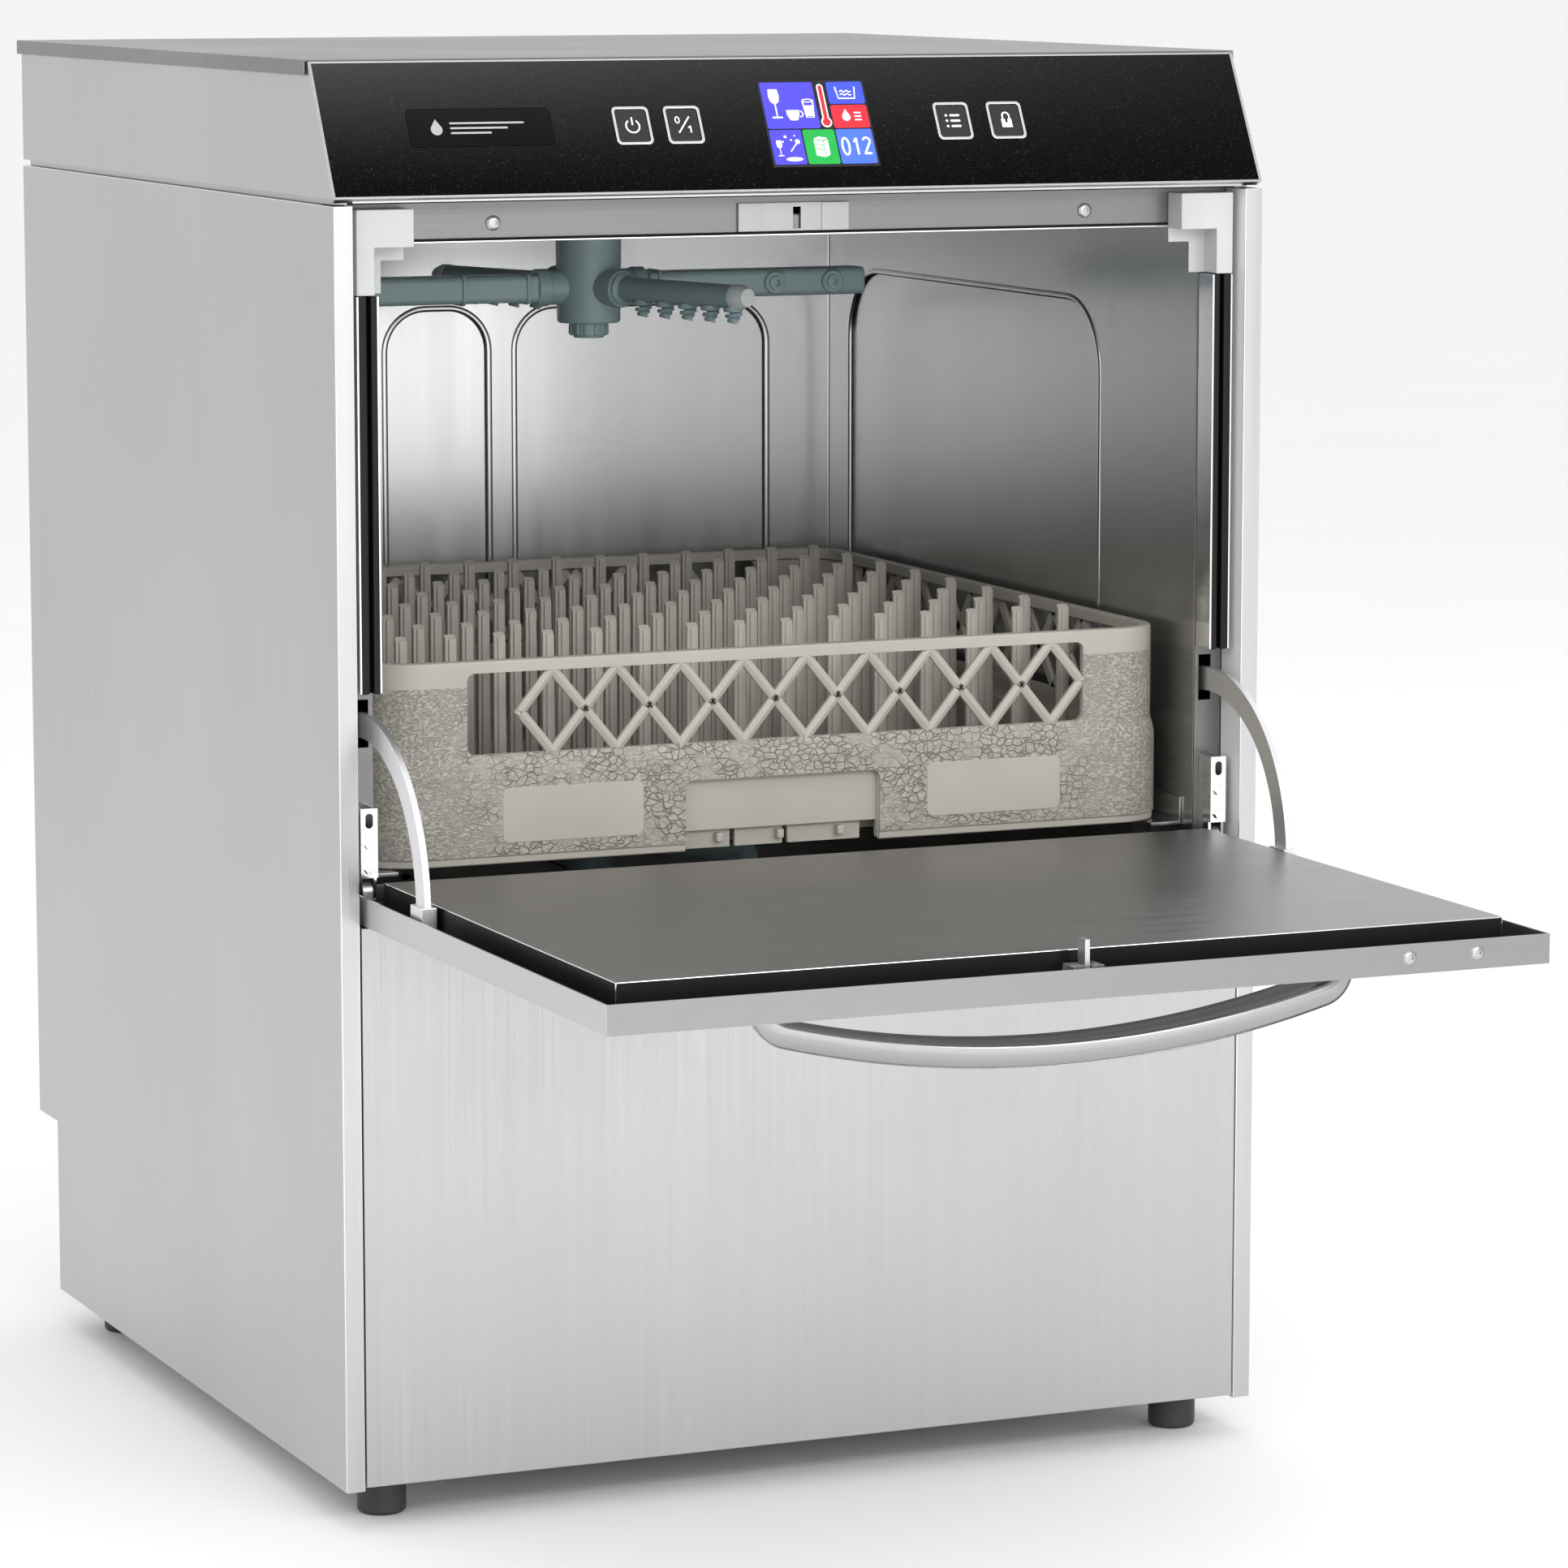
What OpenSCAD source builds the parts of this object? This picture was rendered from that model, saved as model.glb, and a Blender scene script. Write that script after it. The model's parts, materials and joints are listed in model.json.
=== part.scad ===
// Commercial front-loading dishwasher for square racks, with a drop-down door.
// Units are millimetres. X is across the cabinet, Y runs from front to back, Z is up.
// Modules are written with Y = 0 on the cabinet's front plane and are moved by place().

/* [Cabinet] */
// Width over the side panels
body_w = 570; // [560:1:620]
// Depth from the front plane to the back panel
body_d = 597; // [590:1:640]
// Height from the floor to the top of the lid
total_h = 820; // [815:1:860]
// Clear height under the cabinet
foot_h = 22; // [18:1:40]
// Sheet thickness of the outer casing
sheet = 1.2; // [0.8:0.1:2]
// Width of the side panel's front strip
strip_w = 10; // [8:1:14]
// Depth of the recess that takes the closed door
recess_d = 25; // [25:1:30]
// Height of the rear service notch above the floor
notch_h = 132; // [110:1:180]
// Depth of the rear service notch
notch_d = 39.5; // [30:0.5:60]
// Height of the sheet-metal body
body_top = 741.5; // [735:0.5:742]
// Height of the lower front panel's upper edge
panel_top = 342.5; // [330:0.5:342.5]

/* [Controls] */
// Set-back of the sloped fascia at its upper edge
fascia_set = 41.6; // [30:0.1:50]
// Width of a button opening
key_w = 18.8; // [16:0.1:20]
// Height of a button opening
key_h = 20.4; // [16:0.1:22]
// Button travel
key_travel = 1; // [0.5:0.1:2]
// Width of the touch display
disp_w = 66; // [60:1:80]
// Height of the touch display
disp_h = 54.5; // [45:0.5:60]

/* [Door] */
// Distance of the hinge pin behind the front plane
pivot_y = 17.75; // [17.75:0.25:18]
// Height of the hinge pin above the floor
pivot_z = 360.25; // [360.25:0.25:361]
// Reach of the open door in front of the cabinet
door_reach = 363; // [355:1:363]
// Width of the door tray
door_w = 542.6; // [538:0.2:543]
// Radius of the hinge pin
pin_r = 3; // [2.5:0.1:3.5]
// Height of the handle's bow
bow_rise = 42; // [38:1:50]
// Half width of the handle's bow
bow_half = 175; // [165:1:185]

/* [Chamber] */
// Inner width of the wash chamber
cham_w = 513; // [508:1:513]
// Inner depth limit of the wash chamber
cham_back = 560; // [550:1:562]
// Height of the chamber roof
cham_top = 730; // [725:1:731]
// Height of the chamber floor
cham_floor = 302; // [295:1:305]
// Lower edge of the loading opening
open_bot = 362; // [355:1:362]
// Upper edge of the loading opening
open_top = 720; // [710:1:720]
// Distance of the spray arms' axis behind the front plane
arm_y = 345; // [290:1:350]
// Height of the upper spray arm
arm_z = 672; // [660:1:675]
// Height of the lower spray arm
low_arm_z = 335; // [332:1:336]

/* [Rack] */
// Outer width and depth of the rack's lower part
rack_w = 502; // [495:1:504]
// Outer width of the rack's upper part
rack_top_w = 497; // [490:1:499]
// Height of the rack
rack_h = 116; // [100:1:120]
// Height of the rack's underside above the floor
rack_z = 366.5; // [366.5:0.1:367]
// Distance of the pushed-in rack behind the front plane
rack_y = 42; // [40:1:45]
// Pitch of the lattice diamonds
dia_pitch = 39.2; // [35:0.1:45]

/* [Part selection] */
// Node to draw, or all

/* [Hidden] */
$fn = 64;
front_y = -117.9;
half_w = body_w / 2;
lip_x = half_w - strip_w;
fr0 = recess_d;
fr1 = recess_d + sheet;
lid_drop = 8.6;
lid_over = 2;
housing_z = body_top + 3.7;
slope_z = total_h - housing_z;
equip_z = foot_h + 2 * sheet + 0.2;
slope_a = atan2(slope_z, fascia_set - 0.8);
slope_l = norm([slope_z, fascia_set - 0.8]);
key_v = 42.1;
key_foot_n = -6.6;
disp_x = 12.2;
disp_v = 41.9;
badge_x = -191.5;
badge_v = 42.4;
foot_x = half_w - 33.5;
foot_front_y = 33.5;
foot_back_y = 523;
tray_z = pivot_z - 16.75;
tray_in = tray_z + sheet;
rim_z = tray_z + 16.2;
tray_back = 21;
liner_z = 366;
magnet_z = tray_z + 8.7;
liner_half = door_w / 2 - 14.7;
liner_front = door_reach - 25;
liner_back = 8;
seal_h = 4;
seal_top = tray_in + seal_h;
seal_front = 6.9;
seal_z0 = 472;
seal_z1 = 691.8;
cham_half = cham_w / 2;
cham_t = 1.5;
boss_h = 2;
stay_r0 = 86;
stay_r1 = 100;
stay_x = half_w - 21.5;
stay_t = 4;
ear_in = half_w - 23.7;
ear_out = half_w - 16.9;
ear_t = 1.6;
ear_mid = (ear_in + ear_out) / 2;
post_r = 11;
hub_r = 20.5;
hub_bore = post_r + 0.3;
blade_l = 182;
blade_x0 = 36.1;
tube_l = 150;
tube_x0 = 33.1;
tube_a = -72;
pump_x = 70;
pump_y = 230;
pump_z = 105;
outlet_x = 60;
over_x = -120;
over_y = 400;
feed_z = 150;
post_foot = 186;
rack_half = rack_w / 2;
rack_top = rack_z + rack_h;
rack_cy = rack_y + rack_half;
ledge_z = rack_z + 56;
win_z0 = rack_z + 62.5;
win_z1 = rack_z + 109;
win_half = 193;
steel = [0.76, 0.77, 0.78];
steel_dark = [0.55, 0.56, 0.58];
black = [0.08, 0.08, 0.09];
arm_col = [0.39, 0.47, 0.48];
rack_col = [0.72, 0.69, 0.62];
white = [0.9, 0.9, 0.9];

// ---------- helpers ----------

module place() {
  translate([0, front_y, 0]) children();
}

module box(x0, x1, y0, y1, z0, z1) {
  translate([x0, y0, z0]) cube([x1 - x0, y1 - y0, z1 - z0]);
}

// Draws its children on the right-hand side and mirrored on the left.
module both_sides() {
  children();
  mirror([1, 0, 0]) children();
}

// Profile drawn in (Y, Z), thickness along X.
module x_prism(x0, x1) {
  translate([x0, 0, 0]) rotate([90, 0, 90]) linear_extrude(height = x1 - x0) children();
}

// Profile drawn in (X, Z), thickness along Y.
module y_prism(y0, y1) {
  translate([0, y1, 0]) rotate([90, 0, 0]) linear_extrude(height = y1 - y0) children();
}

module cyl_x(r, x0, x1, y, z) {
  translate([x0, y, z]) rotate([0, 90, 0]) cylinder(r = r, h = x1 - x0);
}

module cyl_y(r, x, y0, y1, z) {
  translate([x, y0, z]) rotate([-90, 0, 0]) cylinder(r = r, h = y1 - y0);
}

module cyl_z(r, x, y, z0, z1) {
  translate([x, y, z0]) cylinder(r = r, h = z1 - z0);
}

// Flat rounded rectangle centred on the origin.
module round_rect(w, h, r) {
  square([w - 2 * r, h], center = true);
  square([w, h - 2 * r], center = true);
  for (sx = [-1, 1], sy = [-1, 1])
    translate([sx * (w / 2 - r), sy * (h / 2 - r)]) circle(r = r);
}

// Local frame of the sloped fascia: X across, Y up the slope, Z outwards.
module on_slope() {
  translate([0, 0.8, housing_z]) rotate([slope_a, 0, 0]) children();
}

// Slot that the door's striker enters.
module striker_slot(y0, y1) {
  box(-2.8, 2.8, y0, y1, 722, 736);
}

// ---------- cabinet ----------

module side_profile() {
  polygon([[0, foot_h], [body_d - notch_d, foot_h], [body_d - notch_d, notch_h],
           [body_d, notch_h], [body_d, body_top], [0, body_top]]);
}

module side_panel(s) {
  flange = 12;
  color(steel) place() mirror([s < 0 ? 1 : 0, 0, 0]) {
    x_prism(half_w - sheet, half_w) side_profile();
    box(lip_x - sheet, half_w - sheet, 0, sheet, foot_h, body_top);
    box(lip_x - sheet, lip_x, sheet, recess_d - 0.2, foot_h, body_top);
    box(half_w - flange, half_w - sheet, recess_d + 5, body_d - notch_d, foot_h, foot_h + sheet);
    box(half_w - flange, half_w - sheet, body_d - sheet, body_d, notch_h, body_top);
    box(half_w - flange, half_w - sheet, recess_d + 5, body_d - sheet, body_top - sheet, body_top);
  }
}

module side_panel_left() {
  side_panel(-1);
}

module side_panel_right() {
  side_panel(1);
}

module base_tray() {
  stud_hole_r = 4.3;
  base_half = half_w - 1.5;
  base_z = foot_h + sheet + 0.1;
  base_y = recess_d + 2;
  color(steel_dark) place() difference() {
    union() {
      box(-base_half, base_half, base_y, body_d - notch_d - 1.6, base_z, base_z + sheet);
      box(-base_half, base_half, base_y, base_y + sheet, base_z, base_z + 15);
      both_sides()
        box(base_half - sheet, base_half, base_y, body_d - notch_d - 1.6, base_z, base_z + 15);
    }
    for (fx = [-foot_x, foot_x], fy = [foot_front_y + 3, foot_back_y])
      cyl_z(stud_hole_r, fx, fy, base_z - 1, base_z + sheet + 1);
  }
}

// Pads with a rounded lower edge on M8 studs, each locked by a nut above the base.
module feet() {
  pad_r = 14;
  edge_r = 3;
  color(black) place()
    for (fx = [-foot_x, foot_x], fy = [foot_front_y + 3, foot_back_y]) {
      translate([fx, fy, 0]) {
        rotate_extrude() {
          square([pad_r - edge_r, foot_h]);
          translate([0, edge_r]) square([pad_r, foot_h - edge_r - 2.5]);
          translate([pad_r - edge_r, edge_r]) intersection() {
            circle(r = edge_r);
            translate([0, -edge_r]) square([edge_r, edge_r]);
          }
        }
        cylinder(r = 8, h = foot_h + sheet);
        cylinder(r = 3.9, h = foot_h + 20);
        translate([0, 0, equip_z]) cylinder(r = 7.5, h = 6, $fn = 6);
      }
    }
}

module front_frame() {
  open_half = cham_half;
  slot_x = half_w - 26;
  frame_half = lip_x - sheet - 0.3;
  top_half = half_w - 12.3;
  color(steel) place() difference() {
    union() {
      box(-frame_half, frame_half, fr0, fr1, cham_floor, body_top - 0.3);
      box(-top_half, top_half, fr0, fr0 + 14, body_top - 0.3 - sheet, body_top - 0.3);
    }
    box(-open_half, open_half, fr0 - 1, fr1 + 1, open_bot, open_top);
    striker_slot(fr0 - 1, fr1 + 1);
    both_sides() box(slot_x, slot_x + 8, fr0 - 1, fr1 + 1, 440, 467);
    for (sx = [-183, 182]) cyl_y(1.7, sx, fr0 - 1, fr1 + 1, 729.5);
  }
}

module lower_front_panel() {
  panel_half = lip_x - sheet - 0.9;
  panel_bot = foot_h + 2;
  fold = 12;
  color(steel) place() {
    box(-panel_half, panel_half, 0, sheet, panel_bot, panel_top);
    box(-panel_half, panel_half, sheet, fold, panel_top - sheet, panel_top);
    box(-panel_half, panel_half, sheet, fold, panel_bot, panel_bot + sheet);
    both_sides()
      box(panel_half - sheet, panel_half, sheet, fold, panel_bot + sheet, panel_top - sheet);
  }
}

// One bent sheet: upper back, notch roof and lower service wall with three holes.
module back_panel() {
  back_half = half_w - sheet - 0.3;
  back_out = body_d - sheet - 0.2;
  wall_out = body_d - notch_d - 0.2;
  wall_bot = foot_h + 2 * sheet + 0.3;
  color(steel) place() difference() {
    union() {
      box(-back_half, back_half, back_out - sheet, back_out, notch_h + 0.3, body_top - sheet - 0.3);
      box(-back_half, back_half, wall_out - sheet, back_out, notch_h + 0.3, notch_h + 0.3 + sheet);
      box(-back_half, back_half, wall_out - sheet, wall_out, wall_bot, notch_h + 0.3 + sheet);
    }
    cyl_y(10.4, -150, 540, 570, 90);
    cyl_y(15.4, 120, 540, 570, 75);
    cyl_y(9.4, 215, 540, 570, 90);
    for (i = [0:7])
      box(-60 + i * 12, -56 + i * 12, back_out - 5, back_out + 1, 640, 690);
  }
}

// Upper casing: two cheeks, a back and the sloped tray that carries the fascia.
module control_housing() {
  top_in = total_h - sheet - 0.1;
  cheek_top = (top_in - housing_z) / tan(slope_a) + 0.8;
  tray_n = 4.4;
  color(steel) place() {
    both_sides() x_prism(half_w - sheet, half_w)
      polygon([[0.8, housing_z], [body_d - 1, housing_z], [body_d - 1, top_in],
               [cheek_top, top_in]]);
    box(-half_w + sheet, half_w - sheet, body_d - 1 - sheet, body_d - 1, housing_z, top_in);
    both_sides() {
      box(half_w - 30, half_w - sheet, 32, body_d - 1 - sheet, housing_z, housing_z + sheet);
      box(half_w - 12, half_w - 4, 12, body_d - 3, body_top + 0.1, housing_z);
    }
    box(-half_w + 12, half_w - 12, 3, 24, housing_z - 2.4, housing_z - 0.2);
    box(-half_w + 12, half_w - 12, body_d - 8, body_d - 3, body_top - sheet, housing_z);
    on_slope() difference() {
      translate([-half_w + sheet, 0, -tray_n]) cube([body_w - 2 * sheet, slope_l - 2, tray_n - 0.3]);
      translate([-half_w + sheet + 0.4, 1.2, -3.2]) cube([body_w - 2 * sheet - 0.8, slope_l, 4]);
      translate([disp_x, disp_v, -tray_n - 1]) cube([disp_w + 2, disp_h + 2, 20], center = true);
      for (kx = key_xs())
        translate([kx, key_v, -tray_n - 1]) cube([key_w + 1, key_h + 1, 20], center = true);
    }
  }
}

// Key centres: power, start, program, lock.
function key_xs() = [-101, -70, 96.2, 129.7];

module top_lid() {
  lid_y0 = fascia_set + 0.6;
  lid_y1 = body_d + 3;
  lid_half = half_w + lid_over;
  color(steel) place() {
    box(-lid_half, lid_half, lid_y0, lid_y1, total_h - sheet, total_h);
    both_sides()
      box(lid_half - sheet, lid_half, lid_y0, lid_y1, total_h - lid_drop, total_h - sheet);
    box(-lid_half + sheet, lid_half - sheet, lid_y1 - sheet, lid_y1, total_h - lid_drop, total_h - sheet);
  }
}

module fascia_panel() {
  edge = 1.9;
  color(black) place() on_slope() difference() {
    translate([-half_w + edge, 1.5, -3]) cube([body_w - 2 * edge, slope_l - 4, 3]);
    translate([disp_x, disp_v, 0]) cube([disp_w + 0.4, disp_h + 0.4, 20], center = true);
    for (kx = key_xs())
      translate([kx, key_v, -10]) linear_extrude(height = 20) round_rect(key_w + 3.4, key_h + 3.4, 3);
    translate([badge_x, badge_v, -0.8]) linear_extrude(height = 5) round_rect(85, 23.5, 3);
  }
}

module badge_blank() {
  color(black) place() on_slope()
    translate([badge_x, badge_v, -0.8]) linear_extrude(height = 1) round_rect(84.4, 22.9, 2.7);
}

module touch_display() {
  color([0.15, 0.2, 0.5]) place() on_slope() {
    translate([disp_x - disp_w / 2, disp_v - disp_h / 2, -3]) cube([disp_w, disp_h, 3.2]);
    translate([disp_x - disp_w / 2, disp_v - disp_h / 2, -12]) cube([disp_w, disp_h, 9]);
  }
}

module button_frames() {
  color(steel) place() on_slope() for (kx = key_xs()) translate([kx, key_v, -3])
    linear_extrude(height = 3.4) difference() {
      round_rect(key_w + 3.2, key_h + 3.2, 2.9);
      round_rect(key_w, key_h, 2);
    }
}

// Cap of button number i with the stem that presses its switch.
module key_cap(i) {
  gap = 0.3;
  cap_t = 3.8;
  stem = 3;
  color(black) place() on_slope() translate([key_xs()[i], key_v, key_foot_n]) {
    translate([0, 0, stem]) linear_extrude(height = cap_t)
      round_rect(key_w - 2 * gap, key_h - 2 * gap, 1.7);
    cylinder(r = 3, h = stem);
  }
}

module button_power() {
  key_cap(0);
}

module button_start() {
  key_cap(1);
}

module button_program() {
  key_cap(2);
}

module button_lock() {
  key_cap(3);
}

// Printed circuit on four posts behind the sloped tray, with four key switches.
module control_board() {
  board_n = -20;
  board_t = 1.6;
  board_top = board_n + board_t;
  switch_top = key_foot_n - key_travel - 0.2;
  color([0.1, 0.3, 0.15]) place() on_slope() {
    translate([-130, 12, board_n]) cube([290, 62, board_t]);
    for (px = [-122, 150], py = [18, 68]) translate([px, py, board_n]) cylinder(r = 3, h = 15.6);
    for (kx = key_xs())
      translate([kx, key_v, board_top]) cylinder(r = 3.5, h = switch_top - board_top);
    translate([-40, 25, board_n - 12]) cube([60, 34, 12]);
  }
}

// ---------- loading opening ----------

module latch_plate() {
  color(steel) place() difference() {
    union() {
      box(-36, 32, fr0 - 2, fr0 - 0.1, 721.5, 737.5);
      box(15, 32, fr0 - 2.6, fr0 - 2, 721.5, 737.5);
    }
    box(-2.3, 2.3, fr0 - 5, fr0 + 1, 723, 735);
  }
}

module frame_screws() {
  color(steel) place() for (sx = [-183, 182]) difference() {
    union() {
      cyl_y(4.4, sx, fr0 - 0.9, fr0 - 0.1, 729.5);
      cyl_y(3.1, sx, fr0 - 3.1, fr0 - 0.9, 729.5);
      cyl_y(1.6, sx, fr0 - 0.9, fr1, 729.5);
    }
    translate([sx, fr0 - 1.6, 729.5]) rotate([90, 0, 0]) cylinder(r = 1.5, h = 3, $fn = 6);
  }
}

// White stepped corner blocks at the upper ends of the jamb seals.
module corner_guides() {
  out = half_w - 15.5;
  leg_w = 10.5;
  leg_end = 33.5;
  step_w = 20;
  step_t = 1.2;
  z0 = seal_z1 + 0.2;
  z1 = 739;
  bar_z = 718;
  color(white) place() both_sides() {
    box(out - leg_w, out, seal_front, fr0 - 0.1, z0, z1);
    box(out - leg_end, out - leg_w, seal_front, fr0 - 0.1, bar_z, z1);
    box(out - step_w, out - leg_w, fr0 - 0.1 - step_t, fr0 - 0.1, z0, bar_z);
    box(out - leg_end, out - step_w, fr0 - 0.1 - step_t, fr0 - 0.1, 710, bar_z);
  }
}

// Two jamb profiles with a hollow groove each, and the strip below the cross-member.
module opening_seals() {
  s0 = half_w - 27.4;
  s1 = half_w - 16;
  strip_half = 235.8;
  color(black) place() {
    both_sides() difference() {
      box(s0, s1, seal_front, fr0 - 0.1, seal_z0, seal_z1);
      box(s0 + 4, s0 + 6.5, seal_front - 1, seal_front + 6, seal_z0 - 1, seal_z1 + 1);
    }
    box(-strip_half, strip_half, fr0 - 1.6, fr0 - 0.1, open_top, open_top + 1.4);
  }
}

// Heights of the two nuts on each hinge bracket.
function hinge_nut_zs() = [374, 388];

// U-shaped brackets on the frame; their ears hold the hinge pins.
module hinge_brackets() {
  web_y = 9;
  slot_z = 399;
  slot_r = 2.2;
  color(steel) place() both_sides() difference() {
    union() {
      box(ear_in - ear_t, ear_out + ear_t, web_y, web_y + 1.5, 369, 408);
      for (ex = [ear_in - ear_t, ear_out]) {
        box(ex, ex + ear_t, web_y + 1.5, fr0 - 0.1, 369, 408);
        box(ex, ex + ear_t, pivot_y - 6, fr0 - 0.1, pivot_z, 369);
        cyl_x(6, ex, ex + ear_t, pivot_y, pivot_z);
      }
    }
    cyl_x(pin_r, ear_in - 5, ear_out + 5, pivot_y, pivot_z);
    for (hz = [slot_z, slot_z + 4]) cyl_y(slot_r, ear_mid, 0, 15, hz);
    box(ear_mid - slot_r, ear_mid + slot_r, 0, 15, slot_z, slot_z + 4);
    for (nz = hinge_nut_zs()) cyl_y(1.7, ear_mid, 0, 15, nz);
  }
}

module hinge_pins() {
  color(steel_dark) place() both_sides()
    cyl_x(pin_r, ear_in - ear_t, ear_out + ear_t, pivot_y, pivot_z);
}

module hinge_nuts() {
  color(steel) place() both_sides() for (nz = hinge_nut_zs()) {
    translate([ear_mid, 9, nz]) rotate([90, 0, 0]) cylinder(r = 3.1, h = 2.2, $fn = 6);
    cyl_y(1.6, ear_mid, 6.6, 13, nz);
  }
}

// ---------- wash chamber and tank ----------

// Rounded panel pressed outwards into a wall, drawn at full size or as its pocket.
module wall_bosses(grow) {
  panel_h = 268;
  side_w = 373;
  side_cy = 340.5;
  side_cz = 534;
  rear_cz = 512;
  inset = grow > 0 ? 0 : 1;
  depth = boss_h + grow + inset;
  both_sides() translate([cham_half - inset, side_cy, side_cz])
    rotate([90, 0, 90]) linear_extrude(height = depth)
      round_rect(side_w + 2 * grow, panel_h + 2 * grow, 45 + grow);
  // centre and width of each panel on the rear wall
  for (p = [[-142, 135], [-21, 72], [122, 179]])
    translate([p[0], cham_back + boss_h + grow, rear_cz]) rotate([90, 0, 0])
      linear_extrude(height = depth) round_rect(p[1] + 2 * grow, panel_h + 2 * grow, 28 + grow);
}

// Stainless box open to the front, with pressed panels, a roof hole and a sump opening.
module wash_chamber() {
  t = cham_t;
  color(steel) place() difference() {
    union() {
      box(-cham_half - t, cham_half + t, fr1 + 0.1, cham_back + t, cham_floor - t, cham_top + t);
      wall_bosses(1.3);
    }
    difference() {
      box(-cham_half, cham_half, fr1 - 5, cham_back, cham_floor, cham_top);
      box(-cham_half - 1, cham_half + 1, fr1, fr1 + 2, cham_floor - 1, open_bot);
      box(-cham_half - 1, cham_half + 1, fr1, fr1 + 2, open_top, cham_top + 1);
    }
    wall_bosses(0);
    box(-200, 200, 130, 470, cham_floor - 10, cham_floor + 1);
    cyl_z(post_r + 0.2, 0, arm_y, cham_top - 5, cham_top + 5);
    striker_slot(fr1, fr1 + 6);
  }
}

// Sump below the chamber floor, sloped box with holes for the heater, pump and pipes.
module wash_tank() {
  t = cham_t;
  x0 = 202;
  z0 = 192;
  z1 = cham_floor - cham_t - 0.1;
  color(steel_dark) place() difference() {
    union() {
      box(-x0 - t, x0 + t, 128 - t, 472 + t, z0 - t, z1);
      box(-x0 - 14, x0 + 14, 116, 484, z1 - t, z1);
    }
    box(-x0, x0, 128, 472, z0, z1 + 1);
    cyl_z(24.2, pump_x, pump_y, z0 - 5, z0 + 5);
    cyl_z(14.2, over_x, over_y, z0 - 5, z0 + 5);
    cyl_z(11.2, 0, arm_y, z0 - 5, z0 + 5);
    for (hy = [190, 230]) cyl_x(5.2, -x0 - 5, -x0 + 5, hy, 215);
  }
}

module rack_rails() {
  color(steel) place() both_sides() {
    box(cham_half - 20, cham_half - 0.1, 40, 545, rack_z - 2.5, rack_z - 0.5);
    box(cham_half - 1.6, cham_half - 0.1, 40, 545, rack_z - 0.5, rack_z + 14);
    for (py = [90, 495])
      box(cham_half - 12, cham_half - 0.1, py - 8, py + 8, rack_z - 14, rack_z - 2.5);
  }
}

// Two perforated trays over the sump, cut out round the post, strainer and overflow.
module tank_filters() {
  f0 = cham_floor + 0.1;
  f1 = f0 + 1.2;
  slot_w = 12;
  slot_h = 4;
  color(steel) place() difference() {
    both_sides() difference() {
      union() {
        box(2, 215, 115, 485, f0, f1);
        box(180, 200, 150, 156, f1, f1 + 5);
      }
      for (i = [0:9], j = [0:3]) translate([132 + j * 18, 170 + i * 20, f0 - 1])
        cube([slot_w, slot_h, 4]);
    }
    cyl_z(30, 0, arm_y, f0 - 5, f1 + 5);
    cyl_z(48, pump_x, pump_y, f0 - 5, f1 + 5);
    cyl_z(20, over_x, over_y, f0 - 5, f1 + 5);
  }
}

module pump_strainer() {
  color(steel_dark) place() translate([pump_x, pump_y, 0]) difference() {
    union() {
      cyl_z(24, 0, 0, 190, 196);
      cyl_z(40, 0, 0, 196, cham_floor - 2);
      cyl_z(46, 0, 0, cham_floor - 2, cham_floor + 1);
    }
    cyl_z(21, 0, 0, 180, 200);
    cyl_z(38.5, 0, 0, 197.5, cham_floor + 5);
    for (a = [0:30:330], z = [215, 240, 265])
      rotate([0, 0, a]) box(30, 45, -3, 3, z, z + 14);
  }
}

module overflow_pipe() {
  color(arm_col) place() translate([over_x, over_y, 0]) difference() {
    union() {
      cyl_z(14, 0, 0, 182, cham_floor + 4);
      cyl_z(18, 0, 0, 192.1, 200);
    }
    cyl_z(11, 0, 0, 180, cham_floor + 10);
  }
}

// Tubular element: two legs through the tank wall joined by a bend, with a terminal head.
module tank_heater() {
  r = 4.5;
  color(steel_dark) place() {
    for (hy = [190, 230]) cyl_x(r, -222, -40, hy, 215);
    translate([-40, 210, 215]) difference() {
      rotate_extrude() translate([20, 0]) circle(r = r);
      translate([-60, -60, -20]) cube([60, 120, 40]);
    }
    box(-226, -222, 178, 242, 203, 227);
  }
}

// Run from the pump's outlet to the lower post and the riser behind the chamber, then
// over the roof to the post that carries the upper arm.
module feed_pipe() {
  by = cham_back + 17;
  tz = 757;
  ir = 8.5;
  post_top = arm_z - 22;
  color(arm_col) place() difference() {
    union() {
      cyl_z(post_r, 0, by, feed_z, tz);
      cyl_y(post_r, 0, arm_y, by, tz);
      cyl_y(post_r, 0, arm_y, by, feed_z);
      cyl_x(post_r, 0, outlet_x, arm_y, feed_z);
      cyl_y(post_r, outlet_x, arm_y - 14.9, arm_y, feed_z);
      cyl_z(post_r, 0, arm_y, feed_z, post_foot - 0.1);
      cyl_z(post_r, 0, arm_y, post_top, tz);
      cyl_z(7, 0, arm_y, post_top - 8, post_top);
      cyl_z(16, 0, arm_y, cham_top + cham_t + 0.1, cham_top + cham_t + 6);
      for (p = [[0, by, tz], [0, arm_y, tz], [0, by, feed_z], [0, arm_y, feed_z],
                [outlet_x, arm_y, feed_z]])
        translate(p) sphere(r = post_r);
    }
    cyl_z(ir, 0, by, feed_z, tz);
    cyl_y(ir, 0, arm_y, by, tz);
    cyl_z(ir, 0, arm_y, post_top + 4, tz);
    cyl_y(ir, 0, arm_y, by, feed_z);
    cyl_x(ir, 0, outlet_x, arm_y, feed_z);
    cyl_y(ir, outlet_x, arm_y - 16, arm_y, feed_z);
    cyl_z(ir, 0, arm_y, feed_z, post_foot);
  }
}

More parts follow.
